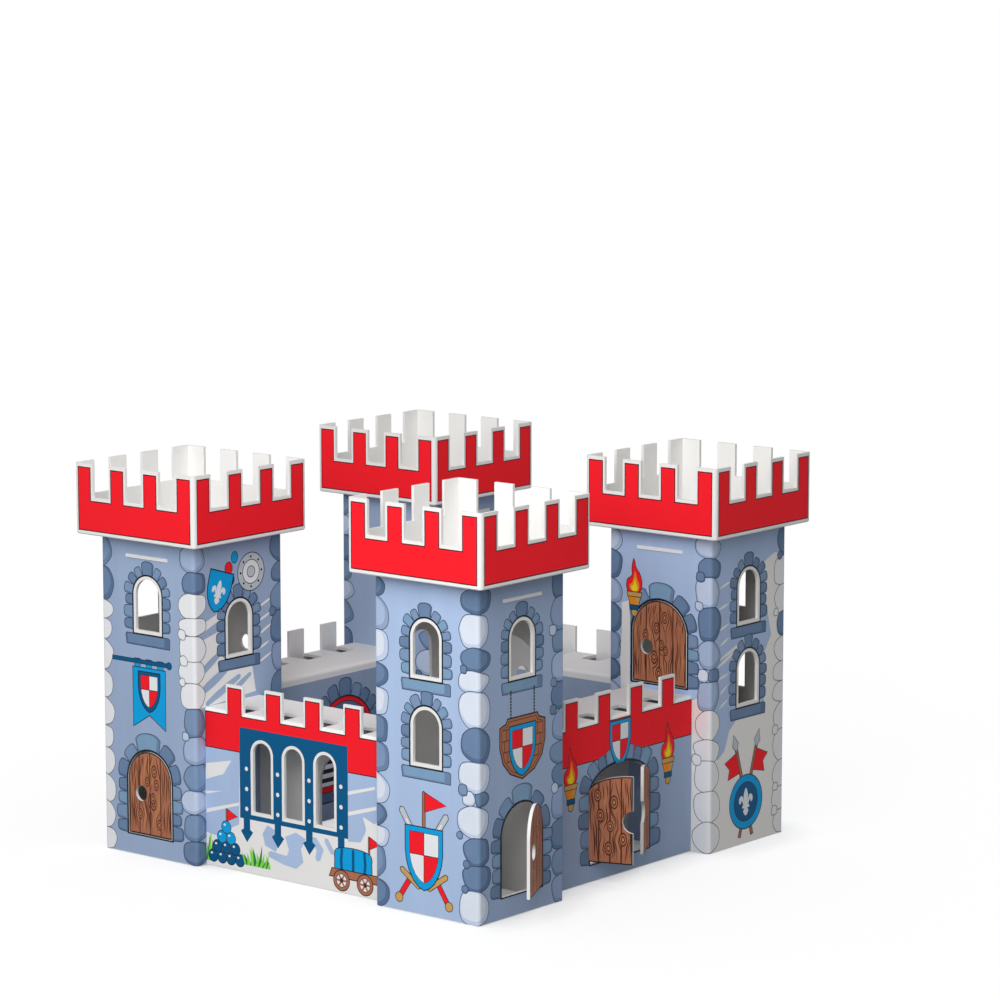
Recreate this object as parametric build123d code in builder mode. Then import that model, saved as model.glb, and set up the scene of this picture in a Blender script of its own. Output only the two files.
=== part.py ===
"""Cardboard castle: folded towers, crowns and walls, with a flat platform in each tower.

Millimetres, +Z up. The castle stands on Z = 0 with its middle on the Z axis. The gate wall faces -Y and the
wall with the barred windows faces -X. Every piece is one sheet of card, folded where the real one is creased.
"""
import os
from math import cos, radians, sin

from build123d import *

# Card
board = 2.0                     # thickness of the sheet
fold_radius = 2.4               # outside of a creased fold, sharp on its inside
fit_gap = 0.25                  # between sheets that meet
slot_gap = 0.3                  # round a tab in its slot
glue_flap_width = 14.0          # strip that closes a folded tube
glue_flap_margin = 4.0          # from the ends of the flap to the edges it runs between

# Towers
tower_spacing = 230.0           # between the axes of neighbouring towers
tower_width = 81.0
tower_height = 204.5
crown_tab_width = 22.0          # tabs on a tower's top edge that hold its crown
crown_tab_rise = 3.0            # of a tab above the ledge it passes through

# Crowns
crown_width = 103.5
crown_height = 45.5
crown_merlon_count = 4          # on each side, with the corner ones shared
crown_merlon_width = 14.4
corner_merlon_width = 15.7      # of a corner merlon, on each side of its fold
crown_merlon_height = 21.5
ledge_lap = 6.0                 # of a crown's ledge past the inside of the tower
ledge_slit = 0.8                # between two flaps of the ledge at their mitre
ledge_crease = 0.7              # chamfer along the fold at a crown's foot

# Platforms
platform_drop = 10.9            # from the tower's top edge to the platform
platform_tab_width = 36.0
platform_tab_proud = 0.8        # of a tab's end outside the tower

# Walls
wall_height = 101.0
wall_depth = 52.0
wall_merlon_count = 4
wall_merlon_width = 14.6
wall_merlon_height = 17.0
wall_tab_reach = 9.0            # of a wall's tab past the tower's face
wall_tab_height = 26.0
wall_tab_sill = 36.0
gate_setback = 14.5             # of the gate wall from the towers' outer faces
wall_setback = 8.5              # of the other walls

# Windows and doors
window_width = 20.5
window_height = 33.0
high_window_drop = 25.8         # from the tower's top edge to the top of a high window
window_pitch = 53.2             # from a high window down to the low one
walkway_window_rise = 29.8      # sill of a window over a walkway, above that walkway
door_width = 38.2
door_height = 55.0
door_sill = 13.2
upper_door_width = 43.4
upper_door_height = 54.6
upper_door_rise = 4.1           # sill of a door over a walkway, above that walkway
upper_door_arch = 19.0
flat_arch = 0.6                 # share of half its width below which an arch is half an ellipse
leaf_gap = 0.5                  # cut round a door's leaf
thumb_hole = 10.0               # diameter
thumb_hole_inset = 11.5         # from the leaf's free edge
thumb_hole_height = 27.0        # above the sill
upper_thumb_hole_height = 23.5
tower_door_angle = 27.5         # of the front tower's leaf, standing ajar
walkway_door_angle = 80.0       # of the front tower's leaf over the walkway

# Gate and barred windows
gate_width = 60.0
gate_height = 60.0
gate_sill = 11.0
gate_arch = 15.0
gate_leaf_gap = 2.2             # over and under the gate's leaves
gate_notch = 14.0               # diameter of the finger hole between the leaves
gate_notch_height = 29.0        # above the sill
gate_left_angle = 70.0
gate_right_angle = 30.0
barred_window_count = 3
barred_width = 15.0
barred_height = 44.8
barred_sill = 39.5
barred_pitch = 26.2
inner_arch_width = 46.0
inner_arch_height = 60.0

tower_reach = tower_width / 2
tower_inside = tower_width - 2 * board
castle_reach = tower_spacing / 2 + tower_reach
wall_length = tower_spacing - tower_width - 2 * fit_gap
ledge_width = (crown_width - tower_width) / 2 + board + ledge_lap
platform_top = tower_height - platform_drop
high_sill = tower_height - high_window_drop - window_height
low_sill = high_sill - window_pitch
walkway_sill = wall_height + walkway_window_rise
upper_door_sill = wall_height + upper_door_rise

OUTWARD = {"front": (0, -1), "right": (1, 0), "back": (0, 1), "left": (-1, 0)}


def face_plane(x, y, reach, side):
    """Plane on an upright face: X to the right and Y up as seen from outside, Z outward."""
    nx, ny = OUTWARD[side]
    return Plane(origin=(x + nx * reach, y + ny * reach, 0), x_dir=(-ny, nx, 0), z_dir=(nx, ny, 0))


def spread(count, width, length):
    """Middles of so many equal pieces along a length, with equal gaps between them and at both ends."""
    gap = (length - count * width) / (count + 1)
    return [gap + width / 2 + step * (width + gap) - length / 2 for step in range(count)]


def arched(across, sill, width, height, arch):
    """Outline of a window or door: a sill and two jambs under a round arch, or under half an ellipse."""
    spring = sill + height - arch
    half = width / 2
    with BuildSketch() as outline:
        with BuildLine():
            jambs = Polyline(
                (across + half, spring), (across + half, sill), (across - half, sill), (across - half, spring)
            )
            if arch < flat_arch * half:
                EllipticalCenterArc((across, spring), half, arch, arc_size=180)
            else:
                ThreePointArc(jambs @ 1, (across, sill + height), jambs @ 0)
        make_face()
    return outline.sketch


def leaf_outline(hinge, width, height, sill, arch, gap, reach, finger_at, finger_height, finger_width):
    """Leaf of a door, drawn from its hinge line. Hinge is 1 at the right jamb and -1 at the left one."""
    spring = sill + height - arch
    with BuildSketch() as outline:
        add(arched(-hinge * width / 2, sill + gap, width - 2 * leaf_gap, height - 2 * gap, arch - gap))
        with Locations((-hinge * leaf_gap, (sill + gap + spring) / 2)):
            Rectangle(2 * leaf_gap, spring - sill - gap)
        if reach < width:
            with Locations((-hinge * (reach + width / 2), sill + height / 2)):
                Rectangle(width, 2 * height, mode=Mode.SUBTRACT)
        with Locations((-hinge * finger_at, sill + finger_height)):
            Circle(finger_width / 2, mode=Mode.SUBTRACT)
    return outline.sketch


def leaf_plane(face, hinge, across, angle):
    """Plane on the back of a leaf that has turned outward about its crease in the back of the sheet."""
    turn = radians(angle)
    back = face.origin + face.x_dir * across - face.z_dir * board
    along = face.x_dir * cos(turn) - face.z_dir * (hinge * sin(turn))
    out = face.z_dir * cos(turn) + face.x_dir * (hinge * sin(turn))
    return Plane(origin=back, x_dir=along, z_dir=out)


def wall_reach(side):
    """Distance from the castle's middle to a wall's outer face."""
    return castle_reach - (gate_setback if side == "front" else wall_setback)


def panel_planes(side):
    """Outer faces of a wall's outer and inner panels."""
    face = face_plane(0, 0, wall_reach(side), side)
    return [face, face.offset(board - wall_depth)]


def make_tower(name, x, y, seam, tab_sides, wall_ends, windows, doors):
    """Square tower of one sheet. Doors are (side, width, height, sill, arch, thumb height, hinge, angle)."""
    with BuildPart() as tower:
        with BuildSketch(Plane((x, y, 0))):
            RectangleRounded(tower_width, tower_width, fold_radius)
            Rectangle(tower_inside, tower_inside, mode=Mode.SUBTRACT)
        extrude(amount=tower_height)

        # Glue flap inside the corner where the sheet closes, under the platform
        flap_top = platform_top - board - glue_flap_margin
        with BuildSketch(face_plane(x, y, tower_inside / 2, seam)):
            with Locations(((tower_inside - glue_flap_width) / 2, (glue_flap_margin + flap_top) / 2)):
                Rectangle(glue_flap_width, flap_top - glue_flap_margin)
        extrude(amount=-board)

        # Tabs that rise through the crown's ledge
        for side in OUTWARD:
            rise = board + crown_tab_rise
            with BuildSketch(face_plane(x, y, tower_reach, side)):
                with Locations((0, tower_height + rise / 2)):
                    Rectangle(crown_tab_width, rise)
            extrude(amount=-board)

        # Slots for the platform's tabs
        for side in tab_sides:
            with BuildSketch(face_plane(x, y, tower_reach, side)):
                with Locations((0, platform_top - board / 2)):
                    Rectangle(platform_tab_width + 2 * slot_gap, board + 2 * slot_gap)
            extrude(amount=-2 * board, mode=Mode.SUBTRACT)

        # Slots for the tabs of the walls that end here, through the face and any glue flap behind it
        for side, end in wall_ends:
            for panel in panel_planes(side):
                with BuildSketch(panel.offset(slot_gap)):
                    middle = end * (tower_spacing - tower_width + 2 * board) / 2
                    with Locations((middle, wall_tab_sill + wall_tab_height / 2)):
                        Rectangle(4 * board, wall_tab_height + 2 * slot_gap)
                extrude(amount=-board - 2 * slot_gap, mode=Mode.SUBTRACT)

        for side, sill in windows:
            with BuildSketch(face_plane(x, y, tower_reach, side)):
                add(arched(0, sill, window_width, window_height, window_width / 2))
            extrude(amount=-2 * board, mode=Mode.SUBTRACT)

        # Doors: an opening, and the leaf that stays on its crease
        for side, width, height, sill, arch, thumb_height, hinge, angle in doors:
            face = face_plane(x, y, tower_reach, side)
            with BuildSketch(face):
                add(arched(0, sill, width, height, arch))
            extrude(amount=-2 * board, mode=Mode.SUBTRACT)
            with BuildSketch(leaf_plane(face, hinge, hinge * width / 2, angle)):
                add(leaf_outline(hinge, width, height, sill, arch, leaf_gap, width,
                                 width - thumb_hole_inset, thumb_height, thumb_hole))
            extrude(amount=board)
    tower.part.label = name
    return tower.part


def make_crown(name, x, y, seam):
    """Battlements of one sheet, with a ledge folded in at the foot that rests on the tower's top edge."""
    inside = crown_width - 2 * board
    opening = crown_width - 2 * ledge_width
    span = crown_width - 2 * corner_merlon_width
    crenel_width = (span - (crown_merlon_count - 2) * crown_merlon_width) / (crown_merlon_count - 1)
    with BuildPart() as crown:
        with BuildSketch(Plane((x, y, tower_height))):
            RectangleRounded(crown_width, crown_width, fold_radius)
            Rectangle(inside, inside, mode=Mode.SUBTRACT)
        extrude(amount=crown_height)

        # Ledge: four flaps, mitred at the corners and slotted for the tower's tabs
        with BuildSketch(Plane((x, y, tower_height))):
            Rectangle(inside + board, inside + board)
            Rectangle(opening, opening, mode=Mode.SUBTRACT)
            with PolarLocations((inside + opening) / 2 * 2 ** 0.5 / 2, 4, start_angle=45):
                Rectangle((inside - opening) * 2 ** 0.5 / 2 - 2 * ledge_slit, ledge_slit, mode=Mode.SUBTRACT)
            with PolarLocations((tower_width - board) / 2, 4):
                Rectangle(board + 2 * slot_gap, crown_tab_width + 2 * slot_gap, mode=Mode.SUBTRACT)
        extrude(amount=board)
        foot = crown.faces().sort_by(Axis.Z)[0]
        chamfer(foot.outer_wire().edges(), length=ledge_crease)

        # Glue flap inside the closing corner, below the crenels
        flap_low = tower_height + board + fit_gap
        flap_high = tower_height + crown_height - crown_merlon_height
        with BuildSketch(face_plane(x, y, inside / 2, seam)):
            with Locations(((inside - glue_flap_width) / 2, (flap_low + flap_high) / 2)):
                Rectangle(glue_flap_width, flap_high - flap_low)
        extrude(amount=-board)

        # Crenels between the merlons, with a merlon folded round each corner
        pitch = crenel_width + crown_merlon_width
        middles = [
            (step * pitch + crenel_width / 2 - span / 2, tower_height + crown_height)
            for step in range(crown_merlon_count - 1)
        ]
        for side in OUTWARD:
            with BuildSketch(face_plane(x, y, crown_width / 2, side)):
                with Locations(*middles):
                    Rectangle(crenel_width, 2 * crown_merlon_height)
            extrude(amount=-2 * board, mode=Mode.SUBTRACT)
    crown.part.label = name
    return crown.part


def make_platform(name, x, y, tab_sides):
    """Floor plate of a tower, with a tab at two opposite edges that shows outside."""
    plate = tower_inside - 2 * fit_gap
    span = tower_width + 2 * platform_tab_proud
    turn = 0 if "left" in tab_sides else 90
    with BuildPart() as platform:
        with BuildSketch(Plane((x, y, platform_top - board))):
            Rectangle(plate, plate)
            Rectangle(span, platform_tab_width, rotation=turn)
        extrude(amount=board)
    platform.part.label = name
    return platform.part


def make_wall(name, side, outer_openings, inner_openings, leaves):
    """Wall of one sheet: two panels and a walkway. Openings are (across, sill, width, height, arch)."""
    outer, inner = panel_planes(side)
    start = outer.origin - outer.x_dir * (wall_length / 2)
    section = Plane(origin=start, x_dir=-outer.z_dir, z_dir=outer.x_dir)
    walkway = Plane(origin=outer.origin + Vector(0, 0, wall_height), x_dir=outer.x_dir, z_dir=(0, 0, 1))
    merlons = spread(wall_merlon_count, wall_merlon_width, wall_length)
    with BuildPart() as wall:
        with BuildSketch(section):
            with BuildLine():
                FilletPolyline(
                    (0, 0), (0, wall_height), (wall_depth, wall_height), (wall_depth, 0), radius=fold_radius
                )
                Polyline(
                    (wall_depth, 0), (wall_depth - board, 0), (wall_depth - board, wall_height - board),
                    (board, wall_height - board), (board, 0), (0, 0)
                )
            make_face()
        extrude(amount=wall_length)

        # Merlons stand up out of the walkway and leave their holes in it
        foot = wall_height - fold_radius
        with BuildSketch(outer):
            with Locations(*[(middle, (foot + wall_height + wall_merlon_height) / 2) for middle in merlons]):
                Rectangle(wall_merlon_width, fold_radius + wall_merlon_height)
        extrude(amount=-board)
        with BuildSketch(walkway):
            with Locations(*[(middle, board + wall_merlon_height / 2) for middle in merlons]):
                Rectangle(wall_merlon_width, wall_merlon_height)
        extrude(amount=-2 * board, mode=Mode.SUBTRACT)

        # Tabs at both ends of both panels, through the towers' faces
        for panel in (outer, inner):
            with BuildSketch(panel):
                with Locations((0, wall_tab_sill + wall_tab_height / 2)):
                    Rectangle(tower_spacing - tower_width + 2 * wall_tab_reach, wall_tab_height)
            extrude(amount=-board)

        for panel, openings in ((outer, outer_openings), (inner, inner_openings)):
            for across, sill, width, height, arch in openings:
                with BuildSketch(panel):
                    add(arched(across, sill, width, height, arch))
                extrude(amount=-2 * board, both=True, mode=Mode.SUBTRACT)

        # Gate leaves, each on its crease and notched where the two meet
        for hinge, angle in leaves:
            with BuildSketch(leaf_plane(outer, hinge, hinge * gate_width / 2, angle)):
                add(leaf_outline(hinge, gate_width, gate_height, gate_sill, gate_arch, gate_leaf_gap,
                                 (gate_width - leaf_gap) / 2, gate_width / 2, gate_notch_height, gate_notch))
            extrude(amount=board)
    wall.part.label = name
    return wall.part


RIGHT_JAMB, LEFT_JAMB = 1, -1
ground_door = (door_width, door_height, door_sill, door_width / 2, thumb_hole_height)
upper_door = (upper_door_width, upper_door_height, upper_door_sill, upper_door_arch, upper_thumb_hole_height)

# Each tower: place, closing corner, sides with the platform's tabs, wall ends, windows and doors
towers = {
    "front": dict(
        at=(-1, -1), seam="back", tab_sides=("front", "back"), wall_ends=(("front", -1), ("left", 1)),
        windows=(("left", high_sill), ("left", low_sill), ("front", high_sill), ("back", walkway_sill)),
        doors=(
            ("front", *ground_door, RIGHT_JAMB, tower_door_angle),
            ("right", *upper_door, RIGHT_JAMB, walkway_door_angle),
        ),
    ),
    "left": dict(
        at=(-1, 1), seam="right", tab_sides=("left", "right"), wall_ends=(("left", -1), ("back", 1)),
        windows=(("left", high_sill), ("front", walkway_sill), ("back", high_sill), ("back", low_sill)),
        doors=(("left", *ground_door, RIGHT_JAMB, 0), ("right", *upper_door, RIGHT_JAMB, 0)),
    ),
    "right": dict(
        at=(1, -1), seam="back", tab_sides=("left", "right"), wall_ends=(("front", 1), ("right", -1)),
        windows=(("front", high_sill), ("front", low_sill), ("right", high_sill), ("right", low_sill)),
        doors=(("left", *upper_door, RIGHT_JAMB, 0),),
    ),
    "back": dict(
        at=(1, 1), seam="left", tab_sides=("front", "back"), wall_ends=(("right", 1), ("back", -1)),
        windows=(("right", high_sill), ("right", low_sill), ("back", high_sill), ("back", low_sill)),
        doors=(),
    ),
}

barred_start = -barred_pitch * (barred_window_count - 1) / 2
barred_openings = [
    (barred_start + step * barred_pitch, barred_sill, barred_width, barred_height, barred_width / 2)
    for step in range(barred_window_count)
]
gate_opening = (0, gate_sill, gate_width, gate_height, gate_arch)
inner_arch = (0, door_sill, inner_arch_width, inner_arch_height, inner_arch_width / 2)

# Each wall: side, openings of the outer and inner panels, and leaves
walls = {
    "wall_gate": ("front", (gate_opening,), (gate_opening,),
                  ((LEFT_JAMB, gate_left_angle), (RIGHT_JAMB, gate_right_angle))),
    "wall_windows": ("left", barred_openings, (inner_arch,), ()),
    "wall_back_left": ("back", (), (), ()),
    "wall_back_right": ("right", (), (), ()),
}

pieces = []
for place, plan in towers.items():
    east, north = (sign * tower_spacing / 2 for sign in plan["at"])
    pieces.append(make_tower(f"tower_{place}", east, north, plan["seam"], plan["tab_sides"],
                             plan["wall_ends"], plan["windows"], plan["doors"]))
    pieces.append(make_crown(f"crown_{place}", east, north, plan["seam"]))
    pieces.append(make_platform(f"platform_{place}", east, north, plan["tab_sides"]))
for name, (side, outer_openings, inner_openings, leaves) in walls.items():
    pieces.append(make_wall(name, side, outer_openings, inner_openings, leaves))

os.makedirs("parts", exist_ok=True)
for piece in pieces:
    export_step(piece, f"parts/{piece.label}.step")
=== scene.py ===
"""Looks of the cardboard castle: white coated card, printed and partly coloured in.

Prints are drawn flat in millimetres, as on the real sheets, and then laid on the folded card. On a sheet the
first coordinate runs to the right as seen from outside and the second one is the height above the floor.
"""

import logging
import math
import random
from collections.abc import Callable, Sequence
from dataclasses import dataclass, field, replace
from enum import Enum
from functools import cached_property

import bpy
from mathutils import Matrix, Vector
from mathutils.geometry import delaunay_2d_cdt


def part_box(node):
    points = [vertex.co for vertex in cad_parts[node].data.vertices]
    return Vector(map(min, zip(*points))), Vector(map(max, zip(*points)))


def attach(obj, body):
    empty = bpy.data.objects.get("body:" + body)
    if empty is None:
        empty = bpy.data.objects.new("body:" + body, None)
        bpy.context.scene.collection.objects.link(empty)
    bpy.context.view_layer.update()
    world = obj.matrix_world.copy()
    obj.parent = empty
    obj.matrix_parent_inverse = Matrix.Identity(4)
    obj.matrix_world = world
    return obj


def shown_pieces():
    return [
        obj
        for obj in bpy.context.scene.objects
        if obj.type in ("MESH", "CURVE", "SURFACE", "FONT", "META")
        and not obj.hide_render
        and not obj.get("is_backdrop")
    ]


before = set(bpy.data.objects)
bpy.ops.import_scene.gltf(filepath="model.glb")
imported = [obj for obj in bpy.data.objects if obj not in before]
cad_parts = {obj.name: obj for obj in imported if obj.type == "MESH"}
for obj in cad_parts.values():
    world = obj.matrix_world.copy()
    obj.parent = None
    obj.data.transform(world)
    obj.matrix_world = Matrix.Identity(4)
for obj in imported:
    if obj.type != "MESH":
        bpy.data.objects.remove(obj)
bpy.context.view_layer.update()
log = logging.getLogger("castle")

Point = tuple[float, float]
Outline = list[Point]

MM = 0.001
UP = Vector((0, 0, 1))
PRINT_PROUD = 0.06      # of the ink over the card
FOLD_RADIUS = 2.4       # outside of a creased fold
BOARD = 2.0             # card thickness
LEAF_GAP = 0.5          # cut round a door's leaf
FOOT = 0.3              # bare edge of the print along the floor
DOOR_LINE = (1.3, 1.0)  # black line round a doorway, and under its sill
DOOR_STONES = 1.4       # from a doorway to the stones round it
PLANKS = 4              # boards across a leaf
THINNEST = 0.04         # half width of a stroke's thinnest end
FIBRE = 1.1             # card fibres, drawn coarser than they are so that they show
FIBRE_DEPTH = 0.2       # height of those fibres at full strength
SHINE = 0.15            # of the card's coating, where 0.5 is that of plain plastic
FLAT_ARCH = 0.6         # share of half its width below which an arch is half an ellipse


def linear(colour: str) -> tuple[float, float, float, float]:
    """Turn a colour as seen on screen into the renderer's linear values.

    Args:
        colour: sRGB as "#RRGGBB".

    Returns:
        Linear red, green and blue, with full opacity.
    """
    channels = [int(colour[i:i + 2], 16) / 255 for i in (1, 3, 5)]
    red, green, blue = (c / 12.92 if c <= 0.04045 else ((c + 0.055) / 1.055) ** 2.4 for c in channels)
    return red, green, blue, 1.0


def add_node(tree: bpy.types.NodeTree, kind: str, inputs: dict | None = None, **settings: object) -> bpy.types.Node:
    """Add one node to a material or world.

    Args:
        tree: Node tree that takes it.
        kind: Blender's name for the node type.
        inputs: Values by input; a value that is another node's output is linked.
        settings: Attributes of the node itself.

    Returns:
        The new node.
    """
    node = tree.nodes.new(kind)
    for name, value in settings.items():
        setattr(node, name, value)
    for name, value in (inputs or {}).items():
        if isinstance(value, bpy.types.NodeSocket):
            tree.links.new(value, node.inputs[name])
        else:
            node.inputs[name].default_value = value
    return node


@dataclass(frozen=True)
class CardFinish:
    """Coated card, bare or printed: an even colour that drifts a little, with a low satin shine."""

    name: str
    colour: str
    drift: float = 0.05         # share by which the colour's strength varies over the sheet
    drift_size: float = 14.0    # mm between its lighter and darker patches
    drift_length: float = 1.0   # upright length of those patches over their width
    roughness: float = 0.55
    grain: float = 0.02         # strength of the card's faint surface grain

    def material(self) -> bpy.types.Material:
        """Make the Blender material, or find it where it was made before.

        Returns:
            The material.
        """
        found = bpy.data.materials.get(self.name)
        if found:
            return found
        made = bpy.data.materials.new(self.name)
        made.use_nodes = True
        tree = made.node_tree
        shader = tree.nodes["Principled BSDF"]
        place = add_node(tree, "ShaderNodeTexCoord").outputs["Object"]
        drawn = add_node(tree, "ShaderNodeVectorMath", {0: place, 1: (1, 1, 1 / self.drift_length)},
                         operation="MULTIPLY").outputs["Vector"]
        patches = add_node(tree, "ShaderNodeTexNoise", {"Vector": drawn, "Scale": 1000 / self.drift_size, "Detail": 3})
        full = Vector(linear(self.colour)[:3])
        mix = add_node(tree, "ShaderNodeMix", {
            "Factor": patches.outputs["Fac"],
            6: (*(full * (1 - self.drift)), 1),
            7: (*(full * (1 + self.drift)), 1),
        }, data_type="RGBA")
        fibres = add_node(tree, "ShaderNodeTexNoise", {"Vector": place, "Scale": 1000 / FIBRE, "Detail": 2})
        bump = add_node(tree, "ShaderNodeBump", {
            "Height": fibres.outputs["Fac"], "Strength": self.grain, "Distance": FIBRE_DEPTH * MM})
        tree.links.new(mix.outputs[2], shader.inputs["Base Color"])
        tree.links.new(bump.outputs["Normal"], shader.inputs["Normal"])
        shader.inputs["Roughness"].default_value = self.roughness
        shader.inputs["Specular IOR Level"].default_value = SHINE
        return made


class Ink(Enum):
    """Printing and felt-pen colours on the card; two darker copies of the wall blue paint shade."""

    # Wall colours by felt pen: soft upright streaks
    WALL = CardFinish("printed_card_wall_blue", "#B2C8EA", 0.10, 16, 6)
    # The wall blue darkened: painted shade for faces that stand in shade, the walls' outer panels among them
    WALL_SHADE = CardFinish("printed_card_wall_slate", "#A2B6D5", 0.10, 16, 6)
    # The wall blue darkened further: painted shade for the inner panels, which face the yard
    WALL_INNER_SHADE = CardFinish("printed_card_inner_wall", "#9DAFCA", 0.08, 16, 6)
    # Stones by felt pen: soft blotches
    STONE_DEEP = CardFinish("printed_card_stone_deep", "#5A7496", 0.10, 12)
    STONE_SLATE = CardFinish("printed_card_stone_slate", "#6F89AB", 0.10, 12)
    STONE_BLUE = CardFinish("printed_card_stone_blue", "#829CBE", 0.10, 12)
    STONE_TEAL = CardFinish("printed_card_stone_teal", "#82A5C5", 0.10, 12)
    STONE_LILAC = CardFinish("printed_card_stone_lilac", "#9AACCF", 0.08, 12)
    STONE_MIST = CardFinish("printed_card_stone_mist", "#AFC3E1", 0.08, 12)
    STONE_PALE = CardFinish("printed_card_stone_pale", "#CAD8F0", 0.06, 12)
    STONE_LIGHT = CardFinish("printed_card_stone_light", "#E4ECF9", 0.05, 12)
    STONE_WHITE = CardFinish("printed_card_stone_white", "#F2F4F7", 0.03, 12)
    # Printed lines and solid fields: nearly even
    LINE = CardFinish("printed_card_slate_line", "#3C475B", 0.04)
    GREY_LINE = CardFinish("printed_card_grey_line", "#6E6C6E", 0.04)
    BLACK = CardFinish("printed_card_black", "#17181D", 0.04)
    RED = CardFinish("printed_card_red", "#FF1D2B", 0.04, 20)
    MAROON = CardFinish("printed_card_maroon_line", "#4A1013", 0.04)
    NAVY = CardFinish("printed_card_navy", "#005888", 0.08, 16)
    CYAN = CardFinish("printed_card_cyan", "#0BA6E8", 0.06, 16)
    WOOD = CardFinish("printed_card_wood_brown", "#B27154", 0.12, 9)
    WOOD_LIGHT = CardFinish("printed_card_wood_light", "#C5875A", 0.08, 9)
    GRAIN = CardFinish("printed_card_wood_grain", "#512A1B", 0.06)
    ORANGE = CardFinish("printed_card_orange", "#F5931E", 0.06)
    YELLOW = CardFinish("printed_card_yellow", "#FFE62E", 0.05)
    TAN = CardFinish("printed_card_tan", "#D2A560", 0.06)
    STEEL = CardFinish("printed_card_steel", "#C9CFD8", 0.06)
    GREEN = CardFinish("printed_card_green", "#84E052", 0.10, 8)
    DARK_GREEN = CardFinish("printed_card_dark_green", "#33803A", 0.06)


# Clay-coated white card: almost even, a little warm
BARE_CARD = CardFinish("coated_card_white", "#F5F4F2", 0.012, 30)

# Stones by letter: colour, and the darker one of its lower right side where it is coloured in
STONES: dict[str, tuple[Ink, Ink | None]] = {
    "s": (Ink.STONE_SLATE, Ink.STONE_DEEP),
    "b": (Ink.STONE_BLUE, Ink.STONE_SLATE),
    "t": (Ink.STONE_TEAL, Ink.STONE_SLATE),
    "l": (Ink.STONE_LILAC, Ink.STONE_BLUE),
    "m": (Ink.STONE_MIST, Ink.STONE_LILAC),
    "p": (Ink.STONE_PALE, Ink.STONE_MIST),
    "v": (Ink.STONE_LIGHT, Ink.STONE_PALE),
    "w": (Ink.STONE_WHITE, None),
}


class Side(Enum):
    """Way that an upright face looks."""

    LEFT = (-1, 0)
    FRONT = (0, -1)
    RIGHT = (1, 0)
    BACK = (0, 1)

    @property
    def out(self) -> Vector:
        """Direction out of the face."""
        return Vector((*self.value, 0))

    @property
    def along(self) -> Vector:
        """Direction to the right as seen from outside."""
        return Vector((-self.value[1], self.value[0], 0))

    @property
    def other(self) -> "Side":
        """The opposite way."""
        return Side((-self.value[0], -self.value[1]))


SIDES = list(Side)


@dataclass(frozen=True)
class FlatLay:
    """A flat panel: where a point of its sheet lies."""

    origin: Vector              # on the card's face, at sheet point (0, 0)
    along: Vector
    out: Vector

    @classmethod
    def on(cls, side: Side, reach: float, centre: Point = (0, 0)) -> "FlatLay":
        """Lay a sheet on an upright face.

        Args:
            side: Way that the face looks.
            reach: Distance of the face from the centre.
            centre: Place of the axis that the reach is measured from.

        Returns:
            The lay, with sheet point (0, 0) on the floor under the axis.
        """
        return cls(Vector((*centre, 0)) + side.out * reach, side.along, side.out)

    def __call__(self, s: float, z: float) -> Vector:
        """Place of a sheet point."""
        return self.origin + self.along * s + UP * z + self.out * PRINT_PROUD


@dataclass(frozen=True)
class TubeLay:
    """A sheet folded round a square tube, starting at the left edge of its left face."""

    centre: Point
    width: float

    def middle(self, side: Side) -> float:
        """Sheet coordinate of the middle of a face."""
        return self.width * (SIDES.index(side) + 0.5)

    def creases(self) -> list[float]:
        """Sheet coordinates of the lines where the flat faces turn into the folds."""
        turns = [FOLD_RADIUS * step / 3 for step in (-3, -2, -1, 0, 1, 2, 3)]
        return [self.width * corner + turn for corner in range(5) for turn in turns]

    def __call__(self, s: float, z: float) -> Vector:
        """Find where a sheet point lies.

        Args:
            s: Distance along the sheet.
            z: Height.

        Returns:
            The place on the folded tube.
        """
        index = min(max(int(s // self.width), 0), 3)
        side = SIDES[index]
        across = s - self.middle(side)
        flat = self.width / 2 - FOLD_RADIUS
        place = Vector((*self.centre, z))
        turn = max(abs(across) - flat, 0) / FOLD_RADIUS * math.pi / 4
        way = math.copysign(1, across)
        reach = FOLD_RADIUS + PRINT_PROUD
        place += side.out * (flat + reach * math.cos(turn))
        return place + side.along * way * (min(abs(across), flat) + reach * math.sin(turn))


def area(outline: Sequence[Point]) -> float:
    """Signed area of an outline, positive where it runs anticlockwise."""
    return sum(a[0] * b[1] - b[0] * a[1] for a, b in zip(outline, [*outline[1:], outline[0]])) / 2


def grow(outline: Sequence[Point], amount: float) -> Outline:
    """Move every side of an outline outward.

    Args:
        outline: Closed outline.
        amount: Distance to move.

    Returns:
        The larger outline.
    """
    turn = math.copysign(1, area(outline))
    count = len(outline)
    grown = []
    for i, (x, y) in enumerate(outline):
        sides = []
        for a, b in ((outline[i - 1], (x, y)), ((x, y), outline[(i + 1) % count])):
            length = math.dist(a, b) or 1
            sides.append(((b[1] - a[1]) / length * turn, (a[0] - b[0]) / length * turn))
        nx, ny = sides[0][0] + sides[1][0], sides[0][1] + sides[1][1]
        scale = 2 * amount / max(nx * nx + ny * ny, 1.2)
        grown.append((x + nx * scale, y + ny * scale))
    return grown


def smooth(points: Sequence[Point], steps: int = 5) -> Outline:
    """Draw a soft closed curve through some points.

    Args:
        points: Points on the curve.
        steps: Pieces between two of them.

    Returns:
        The curve's points.
    """
    count = len(points)
    curve = []
    for i in range(count):
        near = [points[(i + k) % count] for k in (-1, 0, 1, 2)]
        for step in range(steps):
            t = step / steps
            weights = (-t + 2 * t**2 - t**3, 2 - 5 * t**2 + 3 * t**3, t + 4 * t**2 - 3 * t**3, t**3 - t**2)
            curve.append(tuple(sum(w * p[k] for w, p in zip(weights, near)) / 2 for k in (0, 1)))
    return curve


def oval(x: float, z: float, width: float, height: float, count: int = 20) -> Outline:
    """Ellipse of that width and height."""
    turns = [2 * math.pi * i / count for i in range(count)]
    return [(x + width / 2 * math.cos(t), z + height / 2 * math.sin(t)) for t in turns]


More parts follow.
